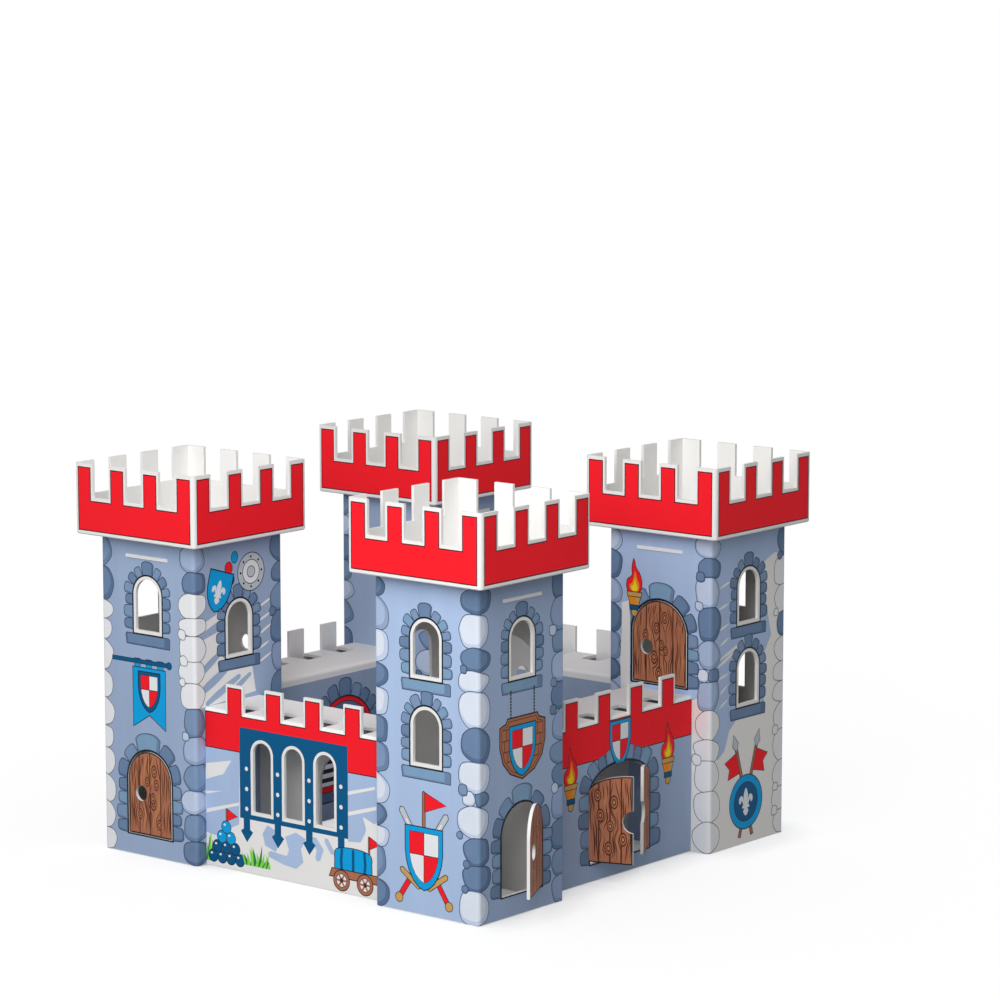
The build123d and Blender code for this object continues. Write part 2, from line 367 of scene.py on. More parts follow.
def block(x0: float, z0: float, x1: float, z1: float) -> Outline:
    """Rectangle between two corners."""
    return [(x0, z0), (x1, z0), (x1, z1), (x0, z1)]


def stroke(points: Sequence[Point], width: float, taper: float = 0.0) -> Outline:
    """Draw a band along a line, as a pen or brush does.

    Args:
        points: The line.
        width: Width of the band at its middle.
        taper: Share of the width that is lost at both ends.

    Returns:
        Outline of the band, with rounded ends.
    """
    last = len(points) - 1
    left, right, tips = [], [], []
    for i, (x, y) in enumerate(points):
        a, b = points[max(i - 1, 0)], points[min(i + 1, last)]
        length = math.dist(a, b) or 1
        tx, ty = (b[0] - a[0]) / length, (b[1] - a[1]) / length
        half = max(width / 2 * (1 - taper * abs(2 * i / last - 1) ** 2), THINNEST)
        left.append((x - ty * half, y + tx * half))
        right.append((x + ty * half, y - tx * half))
        end = half * 0.8 * ((i == last) - (i == 0))
        if end:
            tips.append((x + tx * end, y + ty * end))
    return [tips[0], *right, tips[1], *reversed(left)]


def turned(outline: Sequence[Point], about: Point, angle: float) -> Outline:
    """Turn an outline.

    Args:
        outline: The outline.
        about: Point that it turns about.
        angle: Turn anticlockwise, in degrees.

    Returns:
        The turned outline.
    """
    c, s = math.cos(math.radians(angle)), math.sin(math.radians(angle))
    x, z = about
    return [(x + c * (a - x) - s * (b - z), z + s * (a - x) + c * (b - z)) for a, b in outline]


def clip(outline: Sequence[Point], axis: int, low: float, high: float) -> Outline:
    """Keep the part of an outline between two lines.

    Args:
        outline: Closed outline.
        axis: 0 for upright lines, 1 for level ones.
        low: Place of the lower line.
        high: Place of the higher line.

    Returns:
        The part that is left.
    """
    kept = list(outline)
    for limit, sign in ((low, 1), (high, -1)):
        result = []
        for a, b in zip(kept, [*kept[1:], kept[0]] if kept else []):
            inside_a, inside_b = (sign * (p[axis] - limit) >= 0 for p in (a, b))
            if inside_a:
                result.append(a)
            if inside_a != inside_b:
                t = (limit - a[axis]) / (b[axis] - a[axis])
                result.append((a[0] + t * (b[0] - a[0]), a[1] + t * (b[1] - a[1])))
        kept = result
    return kept


@dataclass(frozen=True)
class Opening:
    """A window or door: a sill and two jambs under an arch."""

    middle: float
    sill: float
    width: float
    height: float
    rise: float

    @property
    def jamb(self) -> float:
        """Height of a jamb."""
        return self.height - self.rise

    @cached_property
    def arch(self) -> list[tuple[Vector, Vector]]:
        """Points along the arch from the left jamb to the right one, each with its direction outward.

        Returns:
            The points and directions.
        """
        half, top = self.width / 2, Vector((self.middle, self.sill + self.height))
        points = []
        for i in range(33):
            if self.rise < FLAT_ARCH * half:
                turn = math.pi * (1 - i / 32)
                place = Vector((half * math.cos(turn), self.rise * (math.sin(turn) - 1)))
                out = Vector((self.rise * math.cos(turn), half * math.sin(turn))).normalized()
            else:
                radius = (half**2 + self.rise**2) / (2 * self.rise)
                turn = math.pi / 2 + math.asin(min(half / radius, 1)) * (1 - i / 16)
                out = Vector((math.cos(turn), math.sin(turn)))
                place = out * radius - Vector((0, radius))
            points.append((top + place, out))
        return points

    @cached_property
    def length(self) -> float:
        """Length of the way up one jamb, round the arch and down the other."""
        return 2 * self.jamb + sum((b[0] - a[0]).length for a, b in zip(self.arch, self.arch[1:]))

    def walk(self, distance: float, off: float) -> Point:
        """Find a point beside the jambs or the arch.

        Args:
            distance: Way from the foot of the left jamb.
            off: Distance outside the opening.

        Returns:
            The point.
        """
        if distance < self.jamb:
            return self.middle - self.width / 2 - off, self.sill + distance
        if distance > self.length - self.jamb:
            return self.middle + self.width / 2 + off, self.sill + self.length - distance
        left = distance - self.jamb
        for (a, out_a), (b, out_b) in zip(self.arch, self.arch[1:]):
            step = (b - a).length
            if left <= step:
                break
            left -= step
        share = min(left / step, 1)
        place = a.lerp(b, share) + out_a.lerp(out_b, share) * off
        return place.x, place.y

    def outline(self, off: float = 0.0, foot: float | None = None) -> Outline:
        """Draw the opening, or a line round it.

        Args:
            off: Distance outside the opening, inside it where negative.
            foot: Distance below the sill, the same as off unless given.

        Returns:
            Closed outline.
        """
        low = self.sill - (off if foot is None else foot)
        half = self.width / 2 + off
        curve = [place + out * off for place, out in self.arch]
        return [(self.middle - half, low), *[(p.x, p.y) for p in curve if p.y > low], (self.middle + half, low)]

    def top(self, x: float) -> float:
        """Find how high the opening is at a place.

        Args:
            x: Place between the jambs.

        Returns:
            Height of the arch there, or of the jambs' top beside it.
        """
        for (a, _), (b, _) in zip(self.arch, self.arch[1:]):
            if a.x <= x <= b.x:
                return a.y + (b.y - a.y) * (x - a.x) / max(b.x - a.x, 1e-6)
        return self.sill + self.jamb


@dataclass
class Sheet:
    """The print on one sheet: layers of ink, each over the ones before it, on card with cut-outs."""

    name: str
    lay: Callable[[float, float], Vector]
    low: Point
    high: Point
    creases: Sequence[float] = ()
    layers: list[tuple[Outline, Ink | None]] = field(default_factory=list)
    cuts: list[tuple[Outline, bool]] = field(default_factory=list)

    def paint(self, outline: Sequence[Point], ink: Ink | None, line: float = 0.0, line_ink: Ink = Ink.LINE) -> None:
        """Lay one shape over what is there.

        Args:
            outline: The shape.
            ink: Its colour, or None for bare card.
            line: Width of the line drawn round it.
            line_ink: Colour of that line.
        """
        if line:
            self.layers.append((grow(outline, line), line_ink))
        self.layers.append((list(outline), ink))

    def cut(self, outline: Sequence[Point], away: bool = True) -> None:
        """Cut the card away inside an outline, or put it back."""
        self.cuts.append((list(outline), away))

    def build(self, slot: str) -> None:
        """Split the print into patches of one ink and lay them on the card.

        Args:
            slot: Not used.
        """
        points: list[Point] = []
        faces: list[list[int]] = []
        for outline, _ in [*self.layers, *self.cuts]:
            ring = outline if area(outline) > 0 else outline[::-1]
            faces.append(list(range(len(points), len(points) + len(ring))))
            points.extend(ring)
        edges: list[tuple[int, int]] = []
        (x0, z0), (x1, z1) = self.low, self.high
        lines = [((x, z0), (x, z1)) for x in self.creases if x0 < x < x1]
        corners = block(x0, z0, x1, z1)
        for a, b in [*lines, *zip(corners, [*corners[1:], corners[0]])]:
            edges.append((len(points), len(points) + 1))
            points += [a, b]
        flat, _, patches, _, _, sources = delaunay_2d_cdt([Vector(p) for p in points], edges, faces, 0, 1e-4)

        inks: list[Ink] = []
        kept: list[tuple[list[int], int]] = []
        for patch, source in zip(patches, sources):
            x, z = sum((flat[i] for i in patch), Vector((0, 0))) / len(patch)
            inside = x0 < x < x1 and z0 < z < z1
            printed = [i for i in source if i < len(self.layers)]
            cut = [i for i in source if i >= len(self.layers)]
            if not inside or not printed or (cut and self.cuts[max(cut) - len(self.layers)][1]):
                continue
            ink = self.layers[max(printed)][1]
            if ink is None:
                continue
            if ink not in inks:
                inks.append(ink)
            kept.append((patch, inks.index(ink)))

        used = sorted({i for patch, _ in kept for i in patch})
        renumbered = {old: new for new, old in enumerate(used)}
        mesh = bpy.data.meshes.new(self.name)
        places = [self.lay(*flat[i]) * MM for i in used]
        mesh.from_pydata(places, [], [[renumbered[i] for i in patch] for patch, _ in kept])
        for ink in inks:
            mesh.materials.append(ink.value.material())
        mesh.polygons.foreach_set("material_index", [index for _, index in kept])
        piece = bpy.data.objects.new(self.name, mesh)
        bpy.context.scene.collection.objects.link(piece)
        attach(piece, "root")
        log.info("%s: %d patches in %d inks", self.name, len(kept), len(inks))


@dataclass
class Masonry:
    """Printed stonework: corner stones, and surrounds of windows and doors."""

    sheet: Sheet
    rng: random.Random

    JOINT = 0.5                     # width of the line round a stone
    LIT = 0.85                      # size of a stone's lighter part over the stone's own
    LIT_SHIFT = (-0.045, 0.05)      # of that part, in widths and heights of the stone
    KEYSTONE = (1.55, 1.22)         # width and depth of a keystone over those of the other stones

    def shaded(self, shape: Outline, stone: str) -> None:
        """Draw one stone, a little darker along its lower right side.

        Args:
            shape: Its outline.
            stone: Letter of its colours in STONES.
        """
        ink, shade = STONES[stone]
        self.sheet.paint(shape, shade or ink, self.JOINT, Ink.LINE if shade else Ink.GREY_LINE)
        if shade:
            (x0, x1), (z0, z1) = ((min(values), max(values)) for values in zip(*shape))
            x, z = (x0 + x1) / 2, (z0 + z1) / 2
            right, up = self.LIT_SHIFT[0] * (x1 - x0), self.LIT_SHIFT[1] * (z1 - z0)
            self.sheet.paint([(x + self.LIT * (a - x) + right, z + self.LIT * (b - z) + up) for a, b in shape], ink)

    def cobble(self, left: float, right: float, low: float, high: float) -> Outline:
        """Shape a block with soft, uneven corners.

        Args:
            left: Its left edge.
            right: Its right edge.
            low: Its lower edge.
            high: Its upper edge.

        Returns:
            Its outline.
        """
        width, height = right - left, high - low
        cuts = [self.rng.uniform(0.17, 0.36) * side for side in (width, width, height, height) * 2]
        points = [
            (left + cuts[0], low), (right - cuts[1], low), (right, low + cuts[2]), (right, high - cuts[3]),
            (right - cuts[4], high), (left + cuts[5], high), (left, high - cuts[6]), (left, low + cuts[7]),
        ]
        return smooth([(x + self.rng.uniform(-0.035, 0.035) * width, z + self.rng.uniform(-0.03, 0.03) * height)
                       for x, z in points], 4)

    def quoins(self, corner: float, top: float, stones: str, heights: Sequence[float], reach: float) -> None:
        """Stack stones up a corner, with a pebble here and there.

        Args:
            corner: Sheet coordinate of the fold.
            top: Height of the stack.
            stones: Colours from the top down, by the letters of STONES, with x for two small stones side by side.
            heights: Their heights, uneven where it is empty.
            reach: Mean reach to the left of the fold.
        """
        sizes = list(heights) or [self.rng.uniform(12, 21) for _ in stones]
        unit = (top - 0.4) / sum(sizes)
        pebbles = []
        z = top
        for stone, size in zip(stones, sizes):
            low, high = z - size * unit + 0.35, z - 0.35
            left = corner - reach * self.rng.uniform(0.86, 1.0) - (0.25 * reach if stone in "pvw" else 0)
            right = corner + self.rng.uniform(7.8, 10.2)
            if stone == "x":
                split = corner - self.rng.uniform(1, 4)
                self.shaded(self.cobble(left, split - 0.4, low, high), "v")
                self.shaded(self.cobble(split + 0.4, right, low, high), "s")
            else:
                self.shaded(self.cobble(left, right, low, high), stone)
                if self.rng.random() < 0.3 and low > 6:
                    pebbles.append((left + self.rng.uniform(0.5, 2.5), low, self.rng.uniform(4, 6.5), stone))
            z -= size * unit
        for x, middle, size, stone in pebbles:
            self.shaded(self.cobble(x - size / 2, x + size / 2, middle - size / 2, middle + size / 2),
                        "w" if stone == "w" else self.rng.choice("bsp"))

    def surround(self, opening: Opening, start: float, depth: float, stones: str, jambs: int, heads: int) -> None:
        """Lay stones round a window or door, with a larger keystone.

        Args:
            opening: The window or door.
            start: Distance from it to the stones' inner edges.
            depth: How far the stones reach out.
            stones: Colours taken in turn, by the letters of STONES.
            jambs: Number of stones beside each jamb.
            heads: Odd number of stones over the arch.
        """
        key = jambs + heads // 2
        key_width, key_depth = self.KEYSTONE
        over = (opening.length - 2 * opening.jamb) / (heads - 1 + key_width)
        steps = [opening.jamb / jambs] * jambs + [over] * heads + [opening.jamb / jambs] * jambs
        steps[key] *= key_width
        ends = [sum(steps[:i]) for i in range(len(steps) + 1)]
        for i in range(1, len(steps)):
            ends[i] += self.rng.uniform(-0.1, 0.1) * steps[i]
        for i in sorted(range(len(steps)), key=lambda i: (i == key, i)):
            a, b = ends[i] + 0.2, ends[i + 1] - 0.2
            reach = depth * (key_depth if i == key else self.rng.uniform(0.84, 1.1))
            shape = [opening.walk(a, start - 0.6)]
            for k in range(13):
                u = k / 12
                bulge = (1 - abs(2 * u - 1) ** 3.6) ** (1 / 3.6)
                shape.append(opening.walk(a + (b - a) * u, start + reach * bulge))
            shape.append(opening.walk(b, start - 0.6))
            self.shaded(shape, stones[i % len(stones)])

    def slab(self, opening: Opening, start: float, stone: str) -> None:
        """Lay a flat slab under a window.

        Args:
            opening: The window.
            start: Distance from the window to the slab.
            stone: Letter of its colours in STONES.
        """
        half = opening.width / 2 + start + 5.6
        high = opening.sill - start + 0.3
        x = opening.middle
        self.shaded([(x - half + 0.6, high - 6.6), (x + half - 0.2, high - 6.9), (x + half, high - 0.8),
                     (x + half - 1.2, high), (x - half + 0.4, high), (x - half - 0.3, high - 1)], stone)


@dataclass(frozen=True)
class Door:
    """A door cut on three sides and creased on the fourth."""

    opening: Opening
    hinge: int                  # 1 at the right jamb and -1 at the left one
    angle: float = 0.0          # that the leaf has turned outward, in degrees
    hole: float = 5.0           # radius of the thumb hole
    hole_inset: float = 11.5    # of the hole from the leaf's free edge
    hole_height: float = 27.0   # of the hole above the sill
    gap: float = LEAF_GAP       # over and under the leaf

    def leaf(self) -> Opening:
        """The leaf itself, smaller than its opening by the cut round it."""
        o, gap = self.opening, self.gap
        return Opening(o.middle, o.sill + gap, o.width - 2 * LEAF_GAP, o.height - 2 * gap, o.rise - gap)

    def thumb(self) -> Outline:
        """Outline of the thumb hole."""
        across = self.opening.middle - self.hinge * (self.opening.width / 2 - self.hole_inset)
        return oval(across, self.opening.sill + self.hole_height, 2 * self.hole, 2 * self.hole)

    def lay(self, face: FlatLay) -> FlatLay:
        """Lay a sheet on the outer side of the turned leaf.

        Args:
            face: Lay of the face that the door is cut in the middle of.

        Returns:
            The lay, with the door's own sheet coordinates.
        """
        turn = math.radians(self.angle)
        along = face.along * math.cos(turn) - face.out * self.hinge * math.sin(turn)
        out = face.out * math.cos(turn) + face.along * self.hinge * math.sin(turn)
        crease = self.hinge * self.opening.width / 2
        back = face.origin + face.along * crease - face.out * BOARD
        return FlatLay(back + out * BOARD - along * crease, along, out)

    def print_open(self, name: str, face: FlatLay, ends: Point, knots: int, slot: str, rng: random.Random) -> None:
        """Print the leaf where it stands open.

        Args:
            name: Name of the print.
            face: Lay of the face that the door is cut in.
            ends: Left and right edges of the leaf.
            knots: Number of knots in its wood.
            slot: Handed on to the sheet's build.
            rng: Source of the grain's uneven lines.
        """
        leaf = self.leaf()
        sheet = Sheet(name, self.lay(face), (ends[0], leaf.sill), (ends[1], leaf.sill + leaf.height))
        Planks(sheet, rng).draw(leaf, *ends, PLANKS, knots)
        sheet.cut(self.thumb())
        sheet.build(slot)


@dataclass
class Planks:
    """Printed wood: a brown field with plank joints, grain and knots."""

    sheet: Sheet
    rng: random.Random

    def draw(self, leaf: Opening, x0: float, x1: float, planks: int, knots: int) -> None:
        """Draw the wood of one leaf.

        Args:
            leaf: The leaf.
            x0: Left edge of the part to draw.
            x1: Right edge of that part.
            planks: Number of boards across it.
            knots: Number of knots in it.
        """
        self.sheet.paint(clip(leaf.outline(), 0, x0, x1), Ink.BLACK)
        self.sheet.paint(clip(leaf.outline(-0.8), 0, x0 + 0.8, x1 - 0.8), Ink.WOOD)
        width = x1 - x0
        spots = [
            (x0 + width * (0.16 + 0.68 * self.rng.random()),
             leaf.sill + leaf.height * (0.1 + 0.75 * (i + self.rng.random()) / knots))
            for i in range(knots)
        ]
        spots = [(x, z) for x, z in spots if z < leaf.top(x) - 7]

        def drift(x: float, z: float) -> float:
            """Lead the grain past the knots on both sides.

            Args:
                x: Place of a grain line where it runs straight.
                z: Height.

            Returns:
                Its place there.
            """
            for kx, kz in spots:
                pull = 3.0 * math.exp(-((z - kz) / 6.5) ** 2) * math.exp(-abs(x - kx) / 4.5)
                x += math.copysign(pull, x - kx)
            return x + 0.35 * math.sin(z / 3.1 + x)

        lines = int(width / 1.9)
        for i in range(lines):
            x = x0 + width * (i + 0.5 + self.rng.uniform(-0.25, 0.25)) / lines
            low, high = leaf.sill + 1.2, leaf.top(min(max(x, x0 + 1), x1 - 1)) - 1.6
            z = low + self.rng.uniform(0, 3)
            while z < high - 5:
                end = min(z + self.rng.uniform(12, 34), high)
                ways = [z + (end - z) * k / 11 for k in range(12)]
                course = [(min(max(drift(x, w), x0 + 1.1), x1 - 1.1), w) for w in ways]
                ink = Ink.WOOD_LIGHT if self.rng.random() < 0.25 else Ink.GRAIN
                self.sheet.paint(stroke(course, self.rng.uniform(0.5, 0.95), 0.85), ink)
                z = end + self.rng.uniform(1, 5)
        for i in range(1, planks):
            x = x0 + width * i / planks
            ends = (leaf.sill + 0.8, leaf.top(x) - 1)
            self.sheet.paint(stroke([(x, ends[0]), (x, sum(ends) / 2), (x, ends[1])], 0.9), Ink.GRAIN)
        for x, z in spots:
            size = self.rng.uniform(3.8, 5.4)
            for share, ink in ((1.0, Ink.GRAIN), (0.76, Ink.WOOD), (0.5, Ink.GRAIN), (0.28, Ink.WOOD_LIGHT)):
                self.sheet.paint(oval(x, z, size * share, size * share * 1.75, 14), ink)


def symmetric(half: Sequence[Point]) -> Outline:
    """Outline from its right half, which ends at a point on the axis."""
    return [*half, *[(-a, b) for a, b in reversed(half[:-1])]]


def shield_shape(width: float, height: float) -> Outline:
    """Draw a shield that stands on its point.

    Args:
        width: Its width.
        height: Its height.

    Returns:
        Closed outline, with the point at (0, 0).
    """
    half = [(0.5, 1), (0.5, 0.62), (0.47, 0.45), (0.40, 0.29), (0.28, 0.14), (0.14, 0.045), (0, 0)]
    return [(a * width, b * height) for a, b in symmetric(half)][::-1]


# A drawing: shapes about the ornament's foot, each with its ink and, where it has one, its line's width and colour
Drawing = Sequence[tuple]
FINE = (0.5, Ink.BLACK)
BOLD = (0.6, Ink.BLACK)
THIN = (0.4, Ink.BLACK)
RED_EDGE = (0.7, Ink.MAROON)

TORCH: Drawing = (
    (smooth([(-0.6, 36), (0.9, 31), (4.0, 27), (5.6, 22), (4.8, 17), (1, 14), (-3.6, 14.4), (-6.0, 18), (-5.4, 22.6),
             (-3.6, 24), (-1.6, 26), (-1.8, 30)]), Ink.RED, 0.6, Ink.MAROON),
    (smooth([(0.4, 28.5), (2.0, 24), (3.6, 20.5), (2.8, 16), (-2.4, 16), (-4.0, 19.2), (-1.8, 21.2), (-0.6, 24)]),
     Ink.ORANGE),
    (smooth([(0.4, 24), (1.2, 21), (2.4, 18.6), (1.6, 16), (-1.6, 16), (-2.6, 18.6), (-0.8, 19.8)]), Ink.YELLOW),
    (oval(0, 2.2, 4.4, 4.6, 14), Ink.TAN, *FINE),
    ([(-2.4, 4.2), (2.4, 4.2), (4.9, 12.6), (-4.9, 12.6)], Ink.ORANGE, *FINE),
    ([(0.6, 7), (3.2, 7), (4.9, 12.6), (1.6, 12.6)], Ink.TAN),
    (block(-3.4, 4.0, 3.4, 6.6), Ink.NAVY, 0.45, Ink.BLACK),
    ([(-5.2, 12.4), (5.2, 12.4), (5.7, 15), (-5.7, 15)], Ink.TAN, *FINE),
)
TORCH_HEIGHT = 36

WING = [(0.7, 3.6), (1.2, 5.8), (2.4, 7.4), (3.9, 6.6), (3.9, 4.9), (2.9, 4.6), (2.6, 5.6), (1.8, 4.8), (1.4, 3.4)]
LILY: Drawing = [(shape, Ink.STONE_WHITE) for shape in (
    smooth([(0, 10), (1.3, 7.4), (0.9, 5), (0.5, 3.4), (-0.5, 3.4), (-0.9, 5), (-1.3, 7.4)], 3),
    smooth(WING, 3), smooth([(-a, b) for a, b in WING], 3),
    smooth([(0.5, 3), (1.5, 1.6), (0, 0), (-1.5, 1.6), (-0.5, 3)], 3),
    block(-2.1, 2.8, 2.1, 3.7),
)]
LILY_HEIGHT = 10

BANNER: Drawing = (
    *[(block(x - 2.2, -5, x + 2.2, 1.6), Ink.CYAN, *FINE) for x in (-10.08, 0, 10.08)],
    ([(-14, -4), (-14, -42), (0, -33.64), (14, -42), (14, -4)], Ink.CYAN, *BOLD),
    (block(-32, -1.1, 17, 1.1), Ink.NAVY, *THIN),
    (oval(17.6, 0, 4.4, 4.4, 14), Ink.NAVY, *THIN),
)
PLUME: Drawing = (
    (oval(-9, 186, 6.4, 8, 14), Ink.RED, *FINE),
    (oval(-3.5, 192.5, 5.6, 7, 14), Ink.CYAN, *FINE),
    (oval(-6.5, 178.5, 4.8, 6, 14), Ink.NAVY, *FINE),
)
SPEAR: Drawing = (
    ([(-1.2, 0), (1.2, 0), (1.2, 64), (-1.2, 64)], Ink.WOOD, *FINE),
    ([(0, 73), (3.0, 66), (0, 61), (-3.0, 66)], Ink.STEEL, *FINE),
    ([(1.2, 60), (1.2, 46), (14, 47), (10.5, 53), (14, 59)], Ink.RED, *FINE),
)
ROUND_SHIELD: Drawing = (
    (oval(0, 24, 36, 36, 32), Ink.CYAN, 0.7, Ink.BLACK),
    (oval(0, 24, 26, 26, 32), Ink.NAVY, *FINE),
)
# Round steel shield, one unit across, with a ring of rivets
BUCKLER: Drawing = (
    (oval(0, 0, 1, 1, 28), Ink.STEEL, *BOLD),
    (oval(0, 0, 0.62, 0.62, 24), Ink.STONE_WHITE, *FINE),
    (oval(0, 0, 0.28, 0.28, 16), Ink.STEEL, *FINE),
    *[(oval(*rivet, 0.07, 0.07, 8), Ink.BLACK) for rivet in oval(0, 0, 0.8, 0.8, 8)],
)
PENNON: Drawing = (
    (stroke([(0, 40), (0, 68)], 1.8), Ink.WOOD, *FINE),
    ([(1, 68), (1, 57), (17, 62.5)], Ink.RED, *FINE),
)
FLAG: Drawing = (
    (stroke([(0, -4), (0, 9)], 1), Ink.WOOD, *THIN),
    ([(0.6, 9), (0.6, 2), (9, 5.5)], Ink.RED, *FINE),
)

# Wooden shield on two chains of beads
SIGN_SIZE = (42, 37.5)
SIGN_SHAPE = [(SIGN_SIZE[0] * a, SIGN_SIZE[1] * b) for a, b in symmetric(
    [(0.33, 1), (0.36, 0.93), (0.5, 0.88), (0.5, 0.56), (0.43, 0.31), (0.27, 0.12), (0, 0)])]
HUNG_SIGN: Drawing = (
    *[(oval(x, SIGN_SIZE[1] + 17.5 * (i + 0.4) / 9, 1.5, 1.9, 8), Ink.BLACK) for x in (-11, 11) for i in range(9)],
    (SIGN_SHAPE, Ink.WOOD, 0.9, Ink.BLACK),
    (grow(SIGN_SHAPE, -1.7), Ink.WOOD, 0.45, Ink.GRAIN),
    *[(stroke([(-x, z), (0, z + 0.5), (x, z)], 0.6), Ink.GRAIN)
      for x, z in ((18.48, 31.5), (18.9, 24.75), (18.48, 18), (15.12, 11.625))],
    *[(stroke([(x, z - 3), (x, z + 3)], 0.5), Ink.GRAIN)
      for x, z in ((-15.12, 28.125), (14.28, 28.125), (-16.8, 21.375), (16.8, 21.375), (-13.86, 15), (15.12, 15))],
)

# Stack of round shot, one unit a ball
BALLS = [(i - (count - 1) / 2, 0.5 + 0.86 * row, Ink.NAVY if row < 2 else Ink.CYAN)
         for row, count in enumerate((4, 3, 2, 1)) for i in range(count)]
SHOT_PILE: Drawing = [shape for x, z, ink in BALLS for shape in (
    (oval(x, z, 1, 1, 18), ink, *FINE), (oval(x - 0.18, z + 0.2, 0.26, 0.2, 8), Ink.STONE_WHITE))]

SPOKES = oval(0, 0, 8, 8, 6)[:3]
CART: Drawing = (
    (smooth([(-14, 13), (-15.5, 20), (-14, 27), (0, 29), (14, 27), (15.5, 20), (14, 13), (0, 11)], 4), Ink.CYAN, *BOLD),
    *[(stroke([(x, 12), (1.08 * x, 20), (x, 28)], 2.2), Ink.NAVY) for x in (-9.5, 0, 9.5)],
    ([(-20, 9), (23, 9), (21, 14), (-18, 14)], Ink.WOOD, *BOLD),
    *[shape for x in (-10, 10) for shape in (
        (oval(x, 7, 13, 13, 24), Ink.WOOD, *BOLD),
        (oval(x, 7, 8.4, 8.4, 20), Ink.STONE_WHITE, *THIN),
        *[(stroke([(x - a, 7 - b), (x + a, 7 + b)], 1.3), Ink.WOOD) for a, b in SPOKES],
        (oval(x, 7, 3.2, 3.2, 12), Ink.GRAIN),
    )],
)


@dataclass
class Heraldry:
    """Small printed ornaments in the castle's colours."""

    sheet: Sheet

    def draw(self, drawing: Drawing, x: float, low: float, unit: float = 1.0, lean: float = 0.0,
             pivot: float = 0.0) -> None:
        """Print an ornament.

        Args:
            drawing: Its shapes.
            x: Place of its axis.
            low: Place of its foot.
            unit: Size of one unit of the drawing.
            lean: Turn anticlockwise, in degrees.
            pivot: Height on its axis that it turns about, in units.
        """
        for shape, *inks in drawing:
            placed = [(x + a * unit, low + b * unit) for a, b in shape]
            self.sheet.paint(turned(placed, (x, low + pivot * unit), lean) if lean else placed, *inks)

    def quartered(self, x: float, low: float, width: float, height: float, rim: Ink) -> None:
        """Draw a shield quartered in red and white.

        Args:
            x: Its middle.
            low: Height of its point.
            width: Width over the rim.
            height: Height over the rim.
            rim: Colour of the rim.
        """
        self.draw([(shield_shape(width, height), rim, 0.7, Ink.BLACK)], x, low)
        edge = 0.11 * width
        inner = [(x + a, low + 1.4 * edge + b) for a, b in shield_shape(width - 2 * edge, height - 2.4 * edge)]
        self.sheet.paint(inner, Ink.STONE_WHITE, 0.35, Ink.BLACK)
        middle = low + height * 0.56
        for ends, heights in (((x - width, x), (middle, low + height)), ((x, x + width), (low, middle))):
            self.sheet.paint(clip(clip(inner, 0, *ends), 1, *heights), Ink.RED)
        for cross in (((x, low + 1.5 * edge), (x, low + height - edge)),
                      ((x - width / 2 + edge, middle), (x + width / 2 - edge, middle))):
            self.sheet.paint(stroke(cross, 0.5), Ink.BLACK)

    def sword(self, hilt: Point, tip: Point, width: float) -> None:
        """Draw a plain sword.

        Args:
            hilt: End of the grip.
            tip: Point of the blade.
            width: Width of the blade.
        """
        def at(t: float, off: float = 0.0) -> Point:
            """Point part of the way from hilt to tip, and off to the left by a share of that way."""
            along, up = tip[0] - hilt[0], tip[1] - hilt[1]
            return hilt[0] + along * t - up * off, hilt[1] + up * t + along * off

        guard = 2.2 * width / math.dist(hilt, tip)
        self.sheet.paint(stroke([at(0.24), at(0.6), at(0.93), tip], width), Ink.STEEL, *FINE)
        self.sheet.paint(stroke([at(0.3), at(0.6), at(0.9)], width * 0.25), Ink.STONE_WHITE)
        self.sheet.paint(stroke([at(0.03), at(0.12), at(0.22)], width * 0.8), Ink.RED, *FINE)
        self.sheet.paint(stroke([at(0.24, -guard), at(0.24), at(0.24, guard)], width * 0.8), Ink.TAN, *FINE)
        self.sheet.paint(oval(*hilt, 1.5 * width, 1.5 * width, 12), Ink.TAN, *FINE)

    def grass(self, x: float, low: float, width: float, height: float, rng: random.Random) -> None:
        """Draw a tuft of grass.

        Args:
            x: Its middle.
            low: Its foot.
            width: Its width.
            height: Height of its longest blades.
            rng: Source of the blades' uneven lean.
        """
        count = max(int(width / 1.1), 5)
        for i in range(count):
            foot = x + width * ((i + 0.5) / count - 0.5)
            rise = height * rng.uniform(0.5, 1.0) * (1 - 0.5 * abs(2 * (i + 0.5) / count - 1))
            lean = rng.uniform(-2.5, 2.5) + (foot - x) * 0.25
            blade = [(foot - 1.5, low), (foot + 1.5, low), (foot + lean * 0.5 + 0.9, low + rise * 0.6),
                     (foot + lean, low + rise)]
            self.sheet.paint(blade, Ink.DARK_GREEN if i % 3 == 1 else Ink.GREEN)


def battlement(merlons: Sequence[Point], low: float, notch: float, top: float) -> Outline:
    """Outline of a printed battlement.

    Args:
        merlons: Left and right edges of its merlons, from the left.
        low: Its lower edge.
        notch: Height of the notches between merlons.
        top: Height of the merlons.

    Returns:
        Closed outline.
    """
    teeth = [point for left, right in merlons
             for point in ((left, notch), (left, top), (right, top), (right, notch))]
    return [(merlons[0][0], low), *teeth[1:-1], (merlons[-1][1], low)]


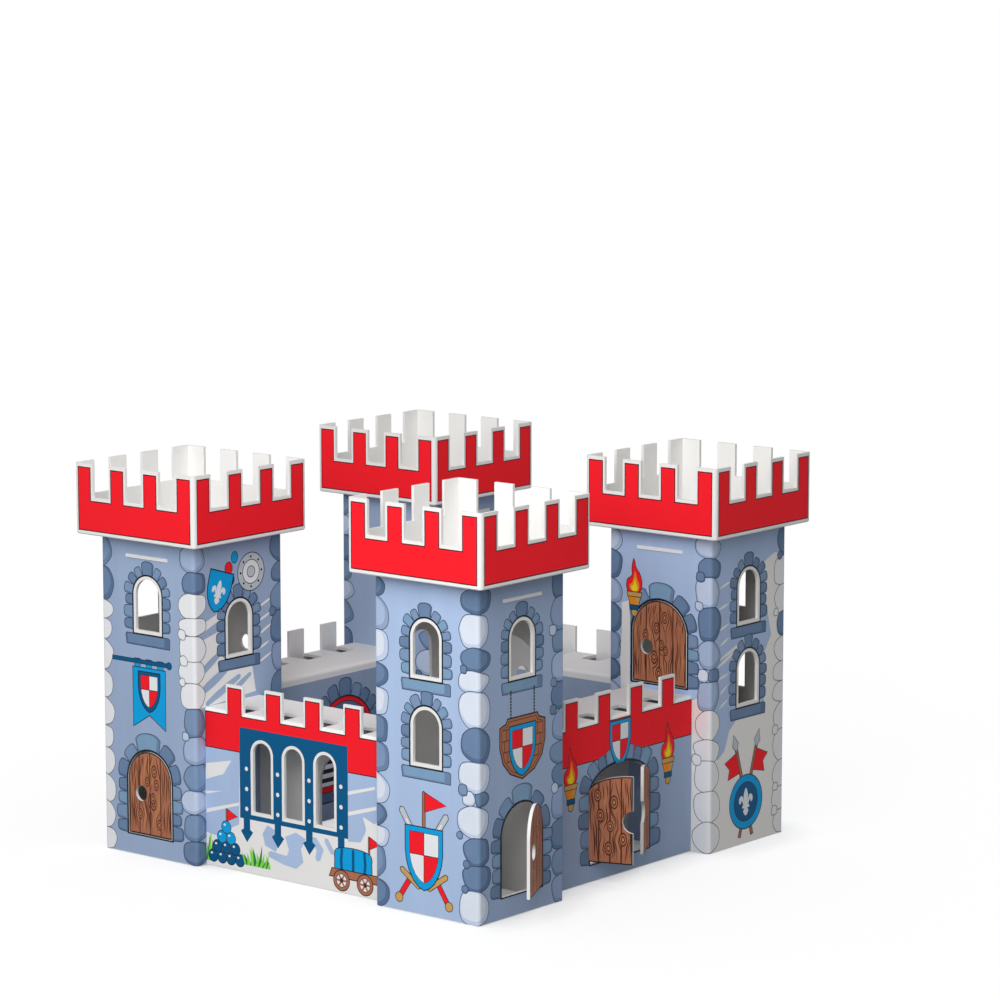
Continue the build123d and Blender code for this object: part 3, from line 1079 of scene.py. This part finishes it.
@dataclass
class Tower:
    """Print of one square tower and of its crown."""

    name: str
    quoins: Sequence[str]                               # by corner, from the left edge of the left face
    windows: Sequence[tuple[Side, float]]               # face and sill
    doors: Sequence[tuple[Side, Door]] = ()
    window_stones: str = "sbst"
    seed: int = 1
    reach: float = 12.5                                 # mean reach of corner stones to the left of a fold
    near_heights: Sequence[float] = ()                  # of the stones at the near corner, from the top
    shaded: Sequence[Side] = ()                         # faces printed in the darker wall blue, as painted shade
    pictures: Callable[["Tower", Sheet], None] | None = None
    colouring: Callable[["Tower", Sheet], None] | None = None
    lay: TubeLay = field(init=False)
    height: float = field(init=False)

    WINDOW = Opening(0, 0, 20.5, 33.0, 10.25)
    BORDER = 2.0                # bare edge round a window
    OUTLINE = 3.1               # that edge with the black line round it
    KNOTS = 7                   # in the wood of a door
    UNDER_CROWN = 0.6           # bare strip
    STONES_END = 1.0            # that far under the crown the corner stones stop
    SHEET_END = 0.4             # that far under the crown nothing is printed
    CROWN_MARGIN = 7.1          # bare edges at both ends of a crown's face
    MERLON = 10.0               # printed width
    CROWN_FIELD = (3.2, 21.4)   # foot and notches of the printed battlement over the crown's foot
    CROWN_EDGE = 2.9            # bare edge over its merlons

    def __post_init__(self) -> None:
        """Take place, width and height from the CAD."""
        low, high = (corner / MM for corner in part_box(f"crown_{self.name}"))
        narrow, wide = (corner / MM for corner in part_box("tower_back"))
        self.lay = TubeLay(((low.x + high.x) / 2, (low.y + high.y) / 2), wide.x - narrow.x)
        self.height = low.z

    def at(self, side: Side, across: float = 0.0) -> float:
        """Sheet coordinate of a place on one face."""
        return self.lay.middle(side) + across

    def moved(self, side: Side, outline: Sequence[Point]) -> Outline:
        """Outline drawn about the middle of a face, at its place on the sheet."""
        return [(self.at(side, x), z) for x, z in outline]

    def build(self) -> None:
        """Print the tower, its open doors and its crown."""
        rng = random.Random(self.seed)
        width, top = self.lay.width, self.height - self.UNDER_CROWN
        sheet = Sheet(f"print_tower_{self.name}", self.lay, (0, 0), (4 * width, self.height - self.SHEET_END),
                      self.lay.creases())
        sheet.paint(block(0, FOOT, 4 * width, top), Ink.WALL)
        # Painted shade: the darker wall blue over the faces that stand in shade
        for side in self.shaded:
            sheet.paint(self.moved(side, block(-width / 2, FOOT, width / 2, top)), Ink.WALL_SHADE)
        if self.colouring:
            self.colouring(self, sheet)
        stones = Masonry(sheet, rng)
        for index, pattern in enumerate(self.quoins):
            state = rng.getstate()
            heights = self.near_heights if index == 1 else ()
            stones.quoins(index * width, self.height - self.STONES_END, pattern, heights, self.reach)
            if not index:
                rng.setstate(state)
                stones.quoins(4 * width, self.height - self.STONES_END, pattern, heights, self.reach)
        for side, sill in self.windows:
            window = replace(self.WINDOW, middle=self.at(side), sill=sill)
            stones.surround(window, self.OUTLINE, 6.6, self.window_stones, 3, 7)
            stones.slab(window, self.OUTLINE, self.window_stones[0])
            sheet.paint(window.outline(self.OUTLINE), Ink.BLACK)
            sheet.paint(window.outline(self.BORDER), None)
            sheet.cut(window.outline())
        for side, door in self.doors:
            self.door(side, door, stones)
        if self.pictures:
            self.pictures(self, sheet)
        sheet.build("tower_card")
        self.crown()

    def door(self, side: Side, door: Door, stones: Masonry) -> None:
        """Print a door and the stones round it.

        Args:
            side: Face that it is cut in.
            door: The door, drawn about the middle of that face.
            stones: Stonework of the tower.
        """
        sheet, rng = stones.sheet, stones.rng
        placed = replace(door, opening=replace(door.opening, middle=self.at(side)))
        stones.surround(placed.opening, DOOR_STONES, 8.0, "sbts", 4, 5)
        sheet.paint(placed.opening.outline(*DOOR_LINE), Ink.BLACK)
        sheet.cut(placed.opening.outline())
        leaf = placed.leaf()
        half = leaf.width / 2
        if door.angle:
            face = FlatLay.on(side, self.lay.width / 2, self.lay.centre)
            name = f"print_leaf_{self.name}_{side.name.lower()}"
            door.print_open(name, face, (-half, half), self.KNOTS, "tower_card", rng)
        else:
            Planks(sheet, rng).draw(leaf, leaf.middle - half, leaf.middle + half, PLANKS, self.KNOTS)
            sheet.cut(leaf.outline(), False)
            sheet.cut(placed.thumb())

    def crown(self) -> None:
        """Print the battlements."""
        low, high = (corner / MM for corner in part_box(f"crown_{self.name}"))
        lay = TubeLay(self.lay.centre, high.x - low.x)
        sheet = Sheet(f"print_crown_{self.name}", lay, (0, low.z), (4 * lay.width, high.z), lay.creases())
        span = lay.width - self.CROWN_MARGIN
        pitch = (span - self.MERLON) / 3
        foot, notch = (low.z + height for height in self.CROWN_FIELD)
        for side in SIDES:
            start = lay.middle(side) - span / 2
            edges = [(start + pitch * i, start + pitch * i + self.MERLON) for i in range(4)]
            sheet.paint(battlement(edges, foot, notch, high.z - self.CROWN_EDGE), Ink.RED, *RED_EDGE)
        sheet.build("crown_card")


@dataclass
class Wall:
    """Print of one wall: its outer panel and its inner one."""

    name: str
    side: Side
    openings: Sequence[Opening] = ()
    inner_openings: Sequence[Opening] = ()
    doors: Sequence[Door] = ()
    coloured: bool = True
    seed: int = 11
    pictures: Callable[["Wall", Sheet], None] | None = None
    inner_pictures: Callable[[Sheet], None] | None = None

    DEPTH = 52.0                # from the inner panel's face to the outer one's
    LENGTH = 148.5
    TOP = 119.0
    FOLD = 98.4                 # height where the panel starts to turn into the walkway
    COLOURED_TO = 80.0          # on the outer panel, under the red band
    INNER_TO = 95.5             # top of the print on the inner panel
    BAND = (76.6, 115.6)        # foot of the red band and top of its merlons
    MERLON = (14.6, 10.6)       # width of a merlon, and of the red on it
    KNOTS = 6                   # in the wood of one leaf of the gate

    def build(self) -> None:
        """Print both panels and the leaves of a gate."""
        inner = min(abs(corner.dot(self.side.out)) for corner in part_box(self.name)) / MM
        rng = random.Random(self.seed)
        half = self.LENGTH / 2
        lay = FlatLay.on(self.side, inner + self.DEPTH)
        sheet = Sheet(f"print_{self.name}", lay, (-half, 0), (half, self.TOP))
        # Painted shade: a coloured outer panel gets the darker wall blue
        if self.coloured:
            sheet.paint(block(-half, FOOT, half, self.COLOURED_TO), Ink.WALL_SHADE)
        if self.pictures:
            self.pictures(self, sheet)
        else:
            self.band(sheet)
        for opening in self.openings:
            sheet.cut(opening.outline())
        sheet.build("wall_card")
        for door in self.doors:
            edge, meet = door.leaf().width / 2, LEAF_GAP / 2
            name, ends = ("left", (-edge, -meet)) if door.hinge < 0 else ("right", (meet, edge))
            door.print_open(f"print_gate_leaf_{name}", lay, ends, self.KNOTS, "wall_card", rng)

        back = Sheet(f"print_{self.name}_inner", FlatLay.on(self.side.other, -inner), (-half, 0), (half, self.FOLD))
        # Painted shade: the inner panel gets the darkest wall blue
        back.paint(block(-half, FOOT, half, self.INNER_TO), Ink.WALL_INNER_SHADE)
        for opening in self.inner_openings:
            Masonry(back, rng).surround(opening, 0.6, 8.6, "sbbs", 4, 7)
            back.cut(opening.outline())
        if self.inner_pictures:
            self.inner_pictures(back)
        back.build("wall_card")

    def band(self, sheet: Sheet) -> None:
        """Print the red battlement along the top.

        Args:
            sheet: Sheet of the outer panel.
        """
        count, (width, red), (foot, top) = 4, self.MERLON, self.BAND
        gap = (self.LENGTH - count * width) / (count + 1)
        middles = [gap + width / 2 + i * (width + gap) - self.LENGTH / 2 for i in range(count)]
        edges = [(middle - red / 2, middle + red / 2) for middle in middles]
        end = self.LENGTH / 2 - 0.8
        shape = [(-end, foot), (-end, self.FOLD), (edges[0][0], self.FOLD),
                 *battlement(edges, self.FOLD - 2, self.FOLD, top)[1:-1],
                 (edges[-1][1], self.FOLD), (end, self.FOLD), (end, foot)]
        sheet.paint(shape, Ink.RED, *RED_EDGE)


GROUND_DOOR = Opening(0, 13.2, 38.2, 55, 19.1)
UPPER_DOOR = Opening(0, 105.1, 43.4, 54.6, 19)
HIGH, LOW, WALKWAY = 145.7, 92.5, 130.8     # sills of the towers' windows
GATE = Opening(0, 11, 60, 60, 15)


def front_pictures(tower: Tower, sheet: Sheet) -> None:
    """Draw the front tower's ornaments: a shield over two crossed swords, and a hung sign.

    Args:
        tower: The tower.
        sheet: Its sheet.
    """
    art = Heraldry(sheet)
    x, low, u = tower.at(Side.LEFT, -2), 5, 72 / 70
    for way in (-1, 1):
        art.sword((x - way * 19 * u, low + 3 * u), (x + way * 17 * u, low + 56 * u), 3.6 * u)
    art.draw(PENNON, x, low, u)
    art.quartered(x, low + 10 * u, 28 * u, 37 * u, Ink.CYAN)
    x, low = tower.at(Side.FRONT, 0.5), 83
    art.draw(HUNG_SIGN, x, low)
    art.quartered(x, low + 1.8, 0.58 * SIGN_SIZE[0], 0.82 * SIGN_SIZE[1], Ink.CYAN)


def left_pictures(tower: Tower, sheet: Sheet) -> None:
    """Draw the left tower's ornaments: a banner on a rod, a round shield and a leaning one.

    Args:
        tower: The tower.
        sheet: Its sheet.
    """
    art = Heraldry(sheet)
    x = tower.at(Side.LEFT, 0.5)
    art.draw(BANNER, x, 125.5)
    art.quartered(x, 93.86, 18.48, 25.08, Ink.NAVY)
    x = tower.at(Side.FRONT)
    art.draw(PLUME, x, 0)
    art.draw(BUCKLER, x + 11.5, 181.5, 24)
    art.draw([(shield_shape(21, 25), Ink.CYAN, 0.8, Ink.BLACK)], x - 18.6, 160, 1, -17, 12)
    art.draw(LILY, x - 18.6, 164.5, 15.5 / LILY_HEIGHT, -17, LILY_HEIGHT / 2)


def right_pictures(tower: Tower, sheet: Sheet) -> None:
    """Draw the right tower's ornaments: a torch, and crossed spears behind a round shield.

    Args:
        tower: The tower.
        sheet: Its sheet.
    """
    art = Heraldry(sheet)
    strip = [(-23.6, 99), (-23.6, 147), (-25, 157), (-30.5, 155), (-30.5, 137), (-31.5, 118), (-31, 99)]
    sheet.paint(tower.moved(Side.LEFT, strip), None)
    art.draw(TORCH, tower.at(Side.LEFT, -20.3), 147.5, 36.5 / TORCH_HEIGHT)
    x, low, u = tower.at(Side.FRONT, -1), 4, 68 / 70
    mirrored = [([(-a, b) for a, b in shape], *inks) for shape, *inks in SPEAR]
    for spear, lean in ((mirrored, 17), (SPEAR, -17)):
        art.draw(spear, x, low, u, lean, 24)
    art.draw(ROUND_SHIELD, x, low, u)
    art.draw(LILY, x, low + 14.5 * u, 19 * u / LILY_HEIGHT)


def strokes(tower: Tower, sheet: Sheet, lines: Sequence[Sequence[float]], width: float, taper: float,
            ink: Ink | None) -> None:
    """Draw strokes of a felt pen on a front face, or leave bare ones between them.

    Args:
        tower: The tower.
        sheet: Its sheet.
        lines: Both ends of each stroke, as four numbers.
        width: Width of the strokes.
        taper: Share of it that is lost at their ends.
        ink: Their colour, or None for bare card.
    """
    for x0, z0, x1, z1 in lines:
        line = [(tower.at(Side.FRONT, x0 + (x1 - x0) * t), z0 + (z1 - z0) * t) for t in (0, 0.33, 0.66, 1)]
        sheet.paint(stroke(line, width, taper), ink)


def right_colouring(tower: Tower, sheet: Sheet) -> None:
    """Leave the places bare that are not coloured in on the right tower.

    Args:
        tower: The tower.
        sheet: Its sheet.
    """
    bare = [(-40.5, 0), (40.5, 0), (40.5, 184), (28, 186.5), (13.6, 180.5), (20.5, 172), (16.5, 164), (20.5, 150),
            (25, 133), (16, 120), (18.5, 104), (17.5, 86), (-10, 84.5), (-20, 77), (-25, 64.5), (-32, 60), (-40.5, 62)]
    sheet.paint(tower.moved(Side.FRONT, bare), None)
    narrow = ((-31.6, 170.5, -19.3, 173.8), (-32.7, 157, -21.7, 159.7), (-31.2, 143.5, -21.5, 146.4),
              (-30.4, 133.6, -21.4, 137.4), (-32.7, 111.7, -21.7, 114.3), (-30.6, 101.9, -22.2, 106.9),
              (-31, 93, -22, 97.5))
    strokes(tower, sheet, narrow, 1.7, 0.7, None)
    strokes(tower, sheet, ((-33.5, 123.5, 4.4, 136), (-32, 120, -14, 128)), 2.4, 0.7, None)
    sheet.paint(tower.moved(Side.LEFT, [(8, 0), (40.5, 0), (40.5, 98), (30, 99.5), (20, 96), (8, 90)]), None)


def left_colouring(tower: Tower, sheet: Sheet) -> None:
    """Leave the places bare that are not coloured in on the left tower.

    Args:
        tower: The tower.
        sheet: Its sheet.
    """
    bare = [(-34.2, 153.5), (-15.9, 160), (-17, 154.7), (-33.5, 148)]
    low = [(-34, 143.5), (-17.5, 147.5), (-17, 132), (-8, 124), (12, 121), (15, 104), (-40.5, 100), (-40.5, 140)]
    for shape in (bare, low):
        sheet.paint(tower.moved(Side.FRONT, shape), None)
    # Felt-pen strokes in the darker wall blue that paints this tower's shade
    for *ends, width in ((-38, 121, -18, 133, 5), (-36, 110, -12, 122, 6), (-30, 102.5, 0, 116, 5),
                         (-12, 104, 10, 116, 4)):
        strokes(tower, sheet, [ends], width, 0.35, Ink.WALL_SHADE)
    narrow = ((18.2, 157.5, 31.1, 162.6), (18.1, 148.7, 29.5, 153), (18, 139.9, 30.9, 145.9), (18.4, 131, 27.8, 134.5),
              (18, 122, 30, 127))
    strokes(tower, sheet, narrow, 1.8, 0.7, None)


def window_wall_pictures(wall: Wall, sheet: Sheet) -> None:
    """Draw the outer panel with the barred windows.

    Args:
        wall: The wall.
        sheet: Sheet of its outer panel.
    """
    art = Heraldry(sheet)
    coloured = [
        [(-74.2, 21), (-66, 20), (-58, 24), (-46, 30), (-45, 77), (-74.2, 77)],
        [(45, 47), (58, 50), (74.2, 44), (74.2, 77), (45, 77)],
        [(45, 33), (55, 34), (60, 42), (57, 50), (45, 50)],
        [(-24, 20), (-15, 17), (-12, 24), (-16, 31), (-22, 33), (-26, 27)],
        [(-8, 10), (2, 9), (8, 14), (6, 22), (10, 29), (2, 32), (-7, 28), (-4, 20)],
    ]
    for shape in coloured:
        sheet.paint(shape, Ink.WALL)
    for line, width in (([(-20, 15), (-8, 13), (2, 14)], 6), ([(17, 30), (22, 24), (20, 18)], 6),
                        ([(27, 31), (32, 24)], 5)):
        sheet.paint(stroke(line, width, 0.3), Ink.WALL)
    bare = [
        [(-74, 65.3), (-52, 69.9), (-59, 60.3), (-74, 55)], [(-74, 47.5), (-60, 49.2), (-74, 45.6)],
        [(-74, 33.4), (-46, 42), (-46, 44), (-74, 36)], [(45, 62), (67, 68.6), (67, 70.4), (45, 64.4)],
        [(45, 49), (68, 56), (68, 58.4), (45, 51.6)], [(58, 38), (74, 47), (74, 51), (60, 44)],
    ]
    for shape in bare:
        sheet.paint(shape, None)
    wall.band(sheet)
    sheet.paint(block(-45, 34.5, 45, 92.3), Ink.NAVY)
    for place in (-39.3, -13.1, 13.1, 39.3):
        tip = [(-2.7, 35), (-2.7, 28), (-5.2, 26.4), (0, 19.6), (5.2, 26.4), (2.7, 28), (2.7, 35)]
        sheet.paint([(place + x, z) for x, z in tip], Ink.NAVY)
        for z in (40.9, 53.6, 66.4):
            sheet.paint(oval(place, z, 2.8, 2.8, 12), None)
    for opening in wall.openings:
        sheet.paint(opening.outline(2.0), None)
    for x in (-56.5, 62):
        art.draw(FLAG, x, 29)
    rng = random.Random(5)
    art.grass(-72, 3, 5, 24, rng)
    art.draw(SHOT_PILE, -57, 3, 7.6)
    art.draw(CART, 49, 1, 44 / 46)
    art.grass(-30.5, 5, 20, 16, rng)


def gate_wall_pictures(wall: Wall, sheet: Sheet) -> None:
    """Draw the outer panel with the gate.

    Args:
        wall: The wall.
        sheet: Sheet of its outer panel.
    """
    wall.band(sheet)
    Masonry(sheet, random.Random(21)).surround(GATE, DOOR_STONES, 9.4, "sbst", 4, 9)
    sheet.paint(GATE.outline(*DOOR_LINE), Ink.BLACK)
    art = Heraldry(sheet)
    art.quartered(0, 69, 20.6, 28.5, Ink.CYAN)
    for x in (-49.5, 49.5):
        art.draw(TORCH, x, 48.5, 39.5 / TORCH_HEIGHT)


def back_wall_inner_pictures(sheet: Sheet) -> None:
    """Draw a blind stone arch with a hung cloth on the inner panel of a far wall.

    Args:
        sheet: Sheet of that panel.
    """
    arch = Opening(8.5, 12, 54, 68.5, 22)
    Masonry(sheet, random.Random(31)).surround(arch, 0.8, 9.5, "sbss", 4, 9)
    sheet.paint(arch.outline(0.8, 0.8), Ink.BLACK)
    sheet.paint(arch.outline(-0.2, -0.2), Ink.RED)
    sheet.paint(arch.outline(-3.2, -0.2), Ink.STONE_DEEP, 0.5, Ink.MAROON)
    sheet.paint(block(-22, 19, 2, 46), Ink.RED, *BOLD)
    sheet.paint(block(-22, 23, 2, 46), Ink.STONE_WHITE, *BOLD)
    for z in (28.5, 34.5, 40.5, 46):
        sheet.paint(block(-22, z - 3, 2, z), Ink.BLACK)


@dataclass
class Castle:
    """The whole print, sheet by sheet."""

    towers: list[Tower] = field(init=False)
    walls: list[Wall] = field(init=False)

    def __post_init__(self) -> None:
        """List the sheets."""
        barred = [Opening(x, 39.5, 15, 44.8, 7.5) for x in (-26.2, 0, 26.2)]
        notch = dict(hole=7.0, hole_inset=GATE.width / 2, hole_height=29.0, gap=2.2)
        upper = Door(UPPER_DOOR, 1, hole_height=23.5)
        plain = ("bpsbpbsplbps", "pbsplbpsbpbs", "sbpbslpbspbp", "pbspbspblbsp")
        # shaded: the faces of each tower that get the darker wall blue as painted shade
        self.towers = [
            Tower("front", ("smvsvsbvsvbs", "svsvvsvxvssv", "slbmslbslsbl", plain[3]),
                  [(Side.LEFT, HIGH), (Side.LEFT, LOW), (Side.FRONT, HIGH), (Side.BACK, WALKWAY)],
                  [(Side.FRONT, Door(GROUND_DOOR, 1, 27.5)), (Side.RIGHT, replace(upper, angle=80))],
                  "tbsb", 1, shaded=[Side.FRONT], pictures=front_pictures,
                  near_heights=(16, 20, 13.5, 13, 21, 20, 18, 8.5, 19, 17, 15, 20)),
            Tower("left", ("bswwwwwwwwww", "mswwwwwbmbpbs", "ssbslsbsbsls", plain[3]),
                  [(Side.LEFT, HIGH), (Side.FRONT, WALKWAY), (Side.BACK, HIGH), (Side.BACK, LOW)],
                  [(Side.LEFT, Door(GROUND_DOOR, 1)), (Side.RIGHT, upper)],
                  "sbsb", 2, reach=10.5, shaded=SIDES, pictures=left_pictures, colouring=left_colouring),
            Tower("right", ("psmslspspsls", "pspsmxmwwwww", "swwswwwwwwww", plain[3]),
                  [(Side.FRONT, HIGH), (Side.FRONT, LOW), (Side.RIGHT, HIGH), (Side.RIGHT, LOW)],
                  [(Side.LEFT, upper)],
                  "sbss", 3, reach=9.6, pictures=right_pictures, colouring=right_colouring,
                  near_heights=(12.9, 12.8, 19.1, 21.5, 18.4, 8.6, 18.3, 18.6, 14.6, 19.9, 19.9, 19.9)),
            Tower("back", plain, [(side, sill) for side in (Side.RIGHT, Side.BACK) for sill in (HIGH, LOW)],
                  seed=4, shaded=SIDES),
        ]
        self.walls = [
            Wall("wall_gate", Side.FRONT, [GATE], [GATE], [Door(GATE, -1, 70, **notch), Door(GATE, 1, 30, **notch)],
                 pictures=gate_wall_pictures),
            Wall("wall_windows", Side.LEFT, barred, [Opening(0, 13.2, 46, 60, 23)], coloured=False,
                 pictures=window_wall_pictures),
            Wall("wall_back_left", Side.BACK, inner_pictures=back_wall_inner_pictures),
            Wall("wall_back_right", Side.RIGHT),
        ]

    def build(self) -> None:
        """Give every sheet its card and its print."""
        card = BARE_CARD.material()
        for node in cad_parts.values():
            node.data.materials.clear()
            node.data.materials.append(card)
        for sheet in [*self.towers, *self.walls]:
            sheet.build()


@dataclass(frozen=True)
class Studio:
    """Pale floor, soft light from the left and the photo's camera."""

    SKY = 0.385                 # light from all round
    SUN = 0.13                  # wide low light from the left, on a face turned to it
    SUN_FROM = Vector((-1, -0.2, 0.3))
    SUN_SPREAD = 40             # degrees
    LAMP = 0.63                 # light of the near lamp, on a face turned to it one metre away
    LAMP_AT = Vector((-0.75, -0.35, 0.65))
    LAMP_WIDTH = 0.7
    FLOOR_BASE = 0.36           # share of light that the floor throws back on the castle
    FLOOR_SEEN = (0.6, 0.755)   # share that the camera sees of it, and glow that makes it white where no shade falls
    FLOOR_HALF = 40
    FLOOR_DROP = 0.0002         # under the castle's foot
    SHADES = (                  # where the glow fades into painted shade: reach and direction of the look-out, open shares, glow left
        (0.15, UP, (0.1, 0.4), 0.15),                                           # inside a tower
        (0.028, Vector((-0.55, 0.6, 0.6)).normalized(), (0.2, 1.0), 0.7),       # at the foot of an unlit wall
    )
    LENS, SENSOR = 141.08, 36
    CAMERA_AT = (-1.892645, -1.595441, 0.601918)
    CAMERA_TURN = (81.276, 0, -50.664)      # degrees

    def build(self) -> None:
        """Set up floor, light and camera."""
        self.floor()
        self.light()
        self.camera()

    def showing(self, tree: bpy.types.NodeTree) -> bpy.types.NodeSocket:
        """Tell the rays that show the background from those that light the castle.

        Args:
            tree: Node tree of the floor or the world.

        Returns:
            Socket that is 1 for rays from the camera, straight, mirrored or let through.
        """
        path = add_node(tree, "ShaderNodeLightPath").outputs
        seen = path["Is Camera Ray"]
        for kind in ("Is Glossy Ray", "Is Transmission Ray"):
            seen = add_node(tree, "ShaderNodeMath", {0: seen, 1: path[kind]}, operation="MAXIMUM").outputs[0]
        return seen

    def floor(self) -> None:
        """Lay a wide white floor that throws little light back on the castle, its glow faded into painted shade inside
        the towers and at the foot of the unlit walls.
        """
        made = bpy.data.materials.new("white_paper_sweep")
        made.use_nodes = True
        tree = made.node_tree
        seen = self.showing(tree)
        share, glow = self.FLOOR_SEEN
        # Painted shade: ambient occlusion fades the floor's glow
        for reach, facing, (shut, clear), left in self.SHADES:
            way = add_node(tree, "ShaderNodeCombineXYZ", dict(enumerate(facing)))
            around = add_node(tree, "ShaderNodeAmbientOcclusion", {"Distance": reach, "Normal": way.outputs[0]},
                              samples=8)
            fade = add_node(tree, "ShaderNodeMapRange", {
                "Value": around.outputs["AO"], "From Min": shut, "From Max": clear, "To Min": left})
            glow = add_node(tree, "ShaderNodeMath", {0: fade.outputs["Result"], 1: glow},
                            operation="MULTIPLY").outputs[0]
        shader = tree.nodes["Principled BSDF"]
        for socket, more, least in (("Emission Strength", glow, 0.0),
                                    ("Base Color", share - self.FLOOR_BASE, self.FLOOR_BASE)):
            value = add_node(tree, "ShaderNodeMath", {0: seen, 1: more, 2: least}, operation="MULTIPLY_ADD")
            tree.links.new(value.outputs[0], shader.inputs[socket])
        shader.inputs["Emission Color"].default_value = (1, 1, 1, 1)
        shader.inputs["Roughness"].default_value = 0.9
        shader.inputs["Specular IOR Level"].default_value = 0.0
        mesh = bpy.data.meshes.new("floor")
        half = self.FLOOR_HALF
        corners = [(*corner, -self.FLOOR_DROP) for corner in block(-half, -half, half, half)]
        mesh.from_pydata(corners, [], [(0, 1, 2, 3)])
        mesh.materials.append(made)
        floor = bpy.data.objects.new("floor", mesh)
        bpy.context.scene.collection.objects.link(floor)
        floor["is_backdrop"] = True

    def light(self) -> None:
        """Light the castle evenly all round, and more strongly by a wide lamp near its left side."""
        world = bpy.data.worlds.new("studio")
        world.use_nodes = True
        tree = world.node_tree
        seen = self.showing(tree)
        mix = add_node(tree, "ShaderNodeMix", {"Factor": seen, 6: (self.SKY, self.SKY, self.SKY, 1), 7: (1, 1, 1, 1)},
                       data_type="RGBA")
        tree.links.new(mix.outputs[2], tree.nodes["Background"].inputs["Color"])
        bpy.context.scene.world = world
        sun = bpy.data.lights.new("sun", "SUN")
        sun.energy = self.SUN * math.pi
        sun.angle = math.radians(self.SUN_SPREAD)
        self.lamp(sun, Vector((0, 0, 2)), self.SUN_FROM)
        near = bpy.data.lights.new("near_lamp", "AREA")
        near.energy = self.LAMP * math.pi**2
        near.size = self.LAMP_WIDTH
        lit = bpy.data.collections.new("lit_by_lamp")
        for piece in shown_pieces():
            lit.objects.link(piece)
        self.lamp(near, self.LAMP_AT, self.LAMP_AT).light_linking.receiver_collection = lit

    def lamp(self, light: bpy.types.Light, place: Vector, away: Vector) -> bpy.types.Object:
        """Hang a light.

        Args:
            light: The light.
            place: Where it hangs.
            away: Direction opposite to the one it shines in.

        Returns:
            The hung lamp.
        """
        lamp = bpy.data.objects.new(light.name, light)
        lamp.location = place
        lamp.rotation_euler = away.to_track_quat("Z", "Y").to_euler()
        bpy.context.scene.collection.objects.link(lamp)
        return lamp

    def camera(self) -> None:
        """Stand the camera where the photo was taken from."""
        lens = bpy.data.cameras.new("camera")
        lens.sensor_width = self.SENSOR
        lens.lens = self.LENS
        lens.clip_end = 200
        camera = bpy.data.objects.new("camera", lens)
        camera.location = self.CAMERA_AT
        camera.rotation_euler = [math.radians(angle) for angle in self.CAMERA_TURN]
        bpy.context.scene.collection.objects.link(camera)
        bpy.context.scene.camera = camera


def main() -> None:
    """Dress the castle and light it."""
    logging.basicConfig(level=logging.INFO, format="%(name)s: %(message)s")
    Castle().build()
    Studio().build()
    scene = bpy.context.scene
    scene.view_settings.view_transform = "Standard"


if __name__ == "__main__":
    main()
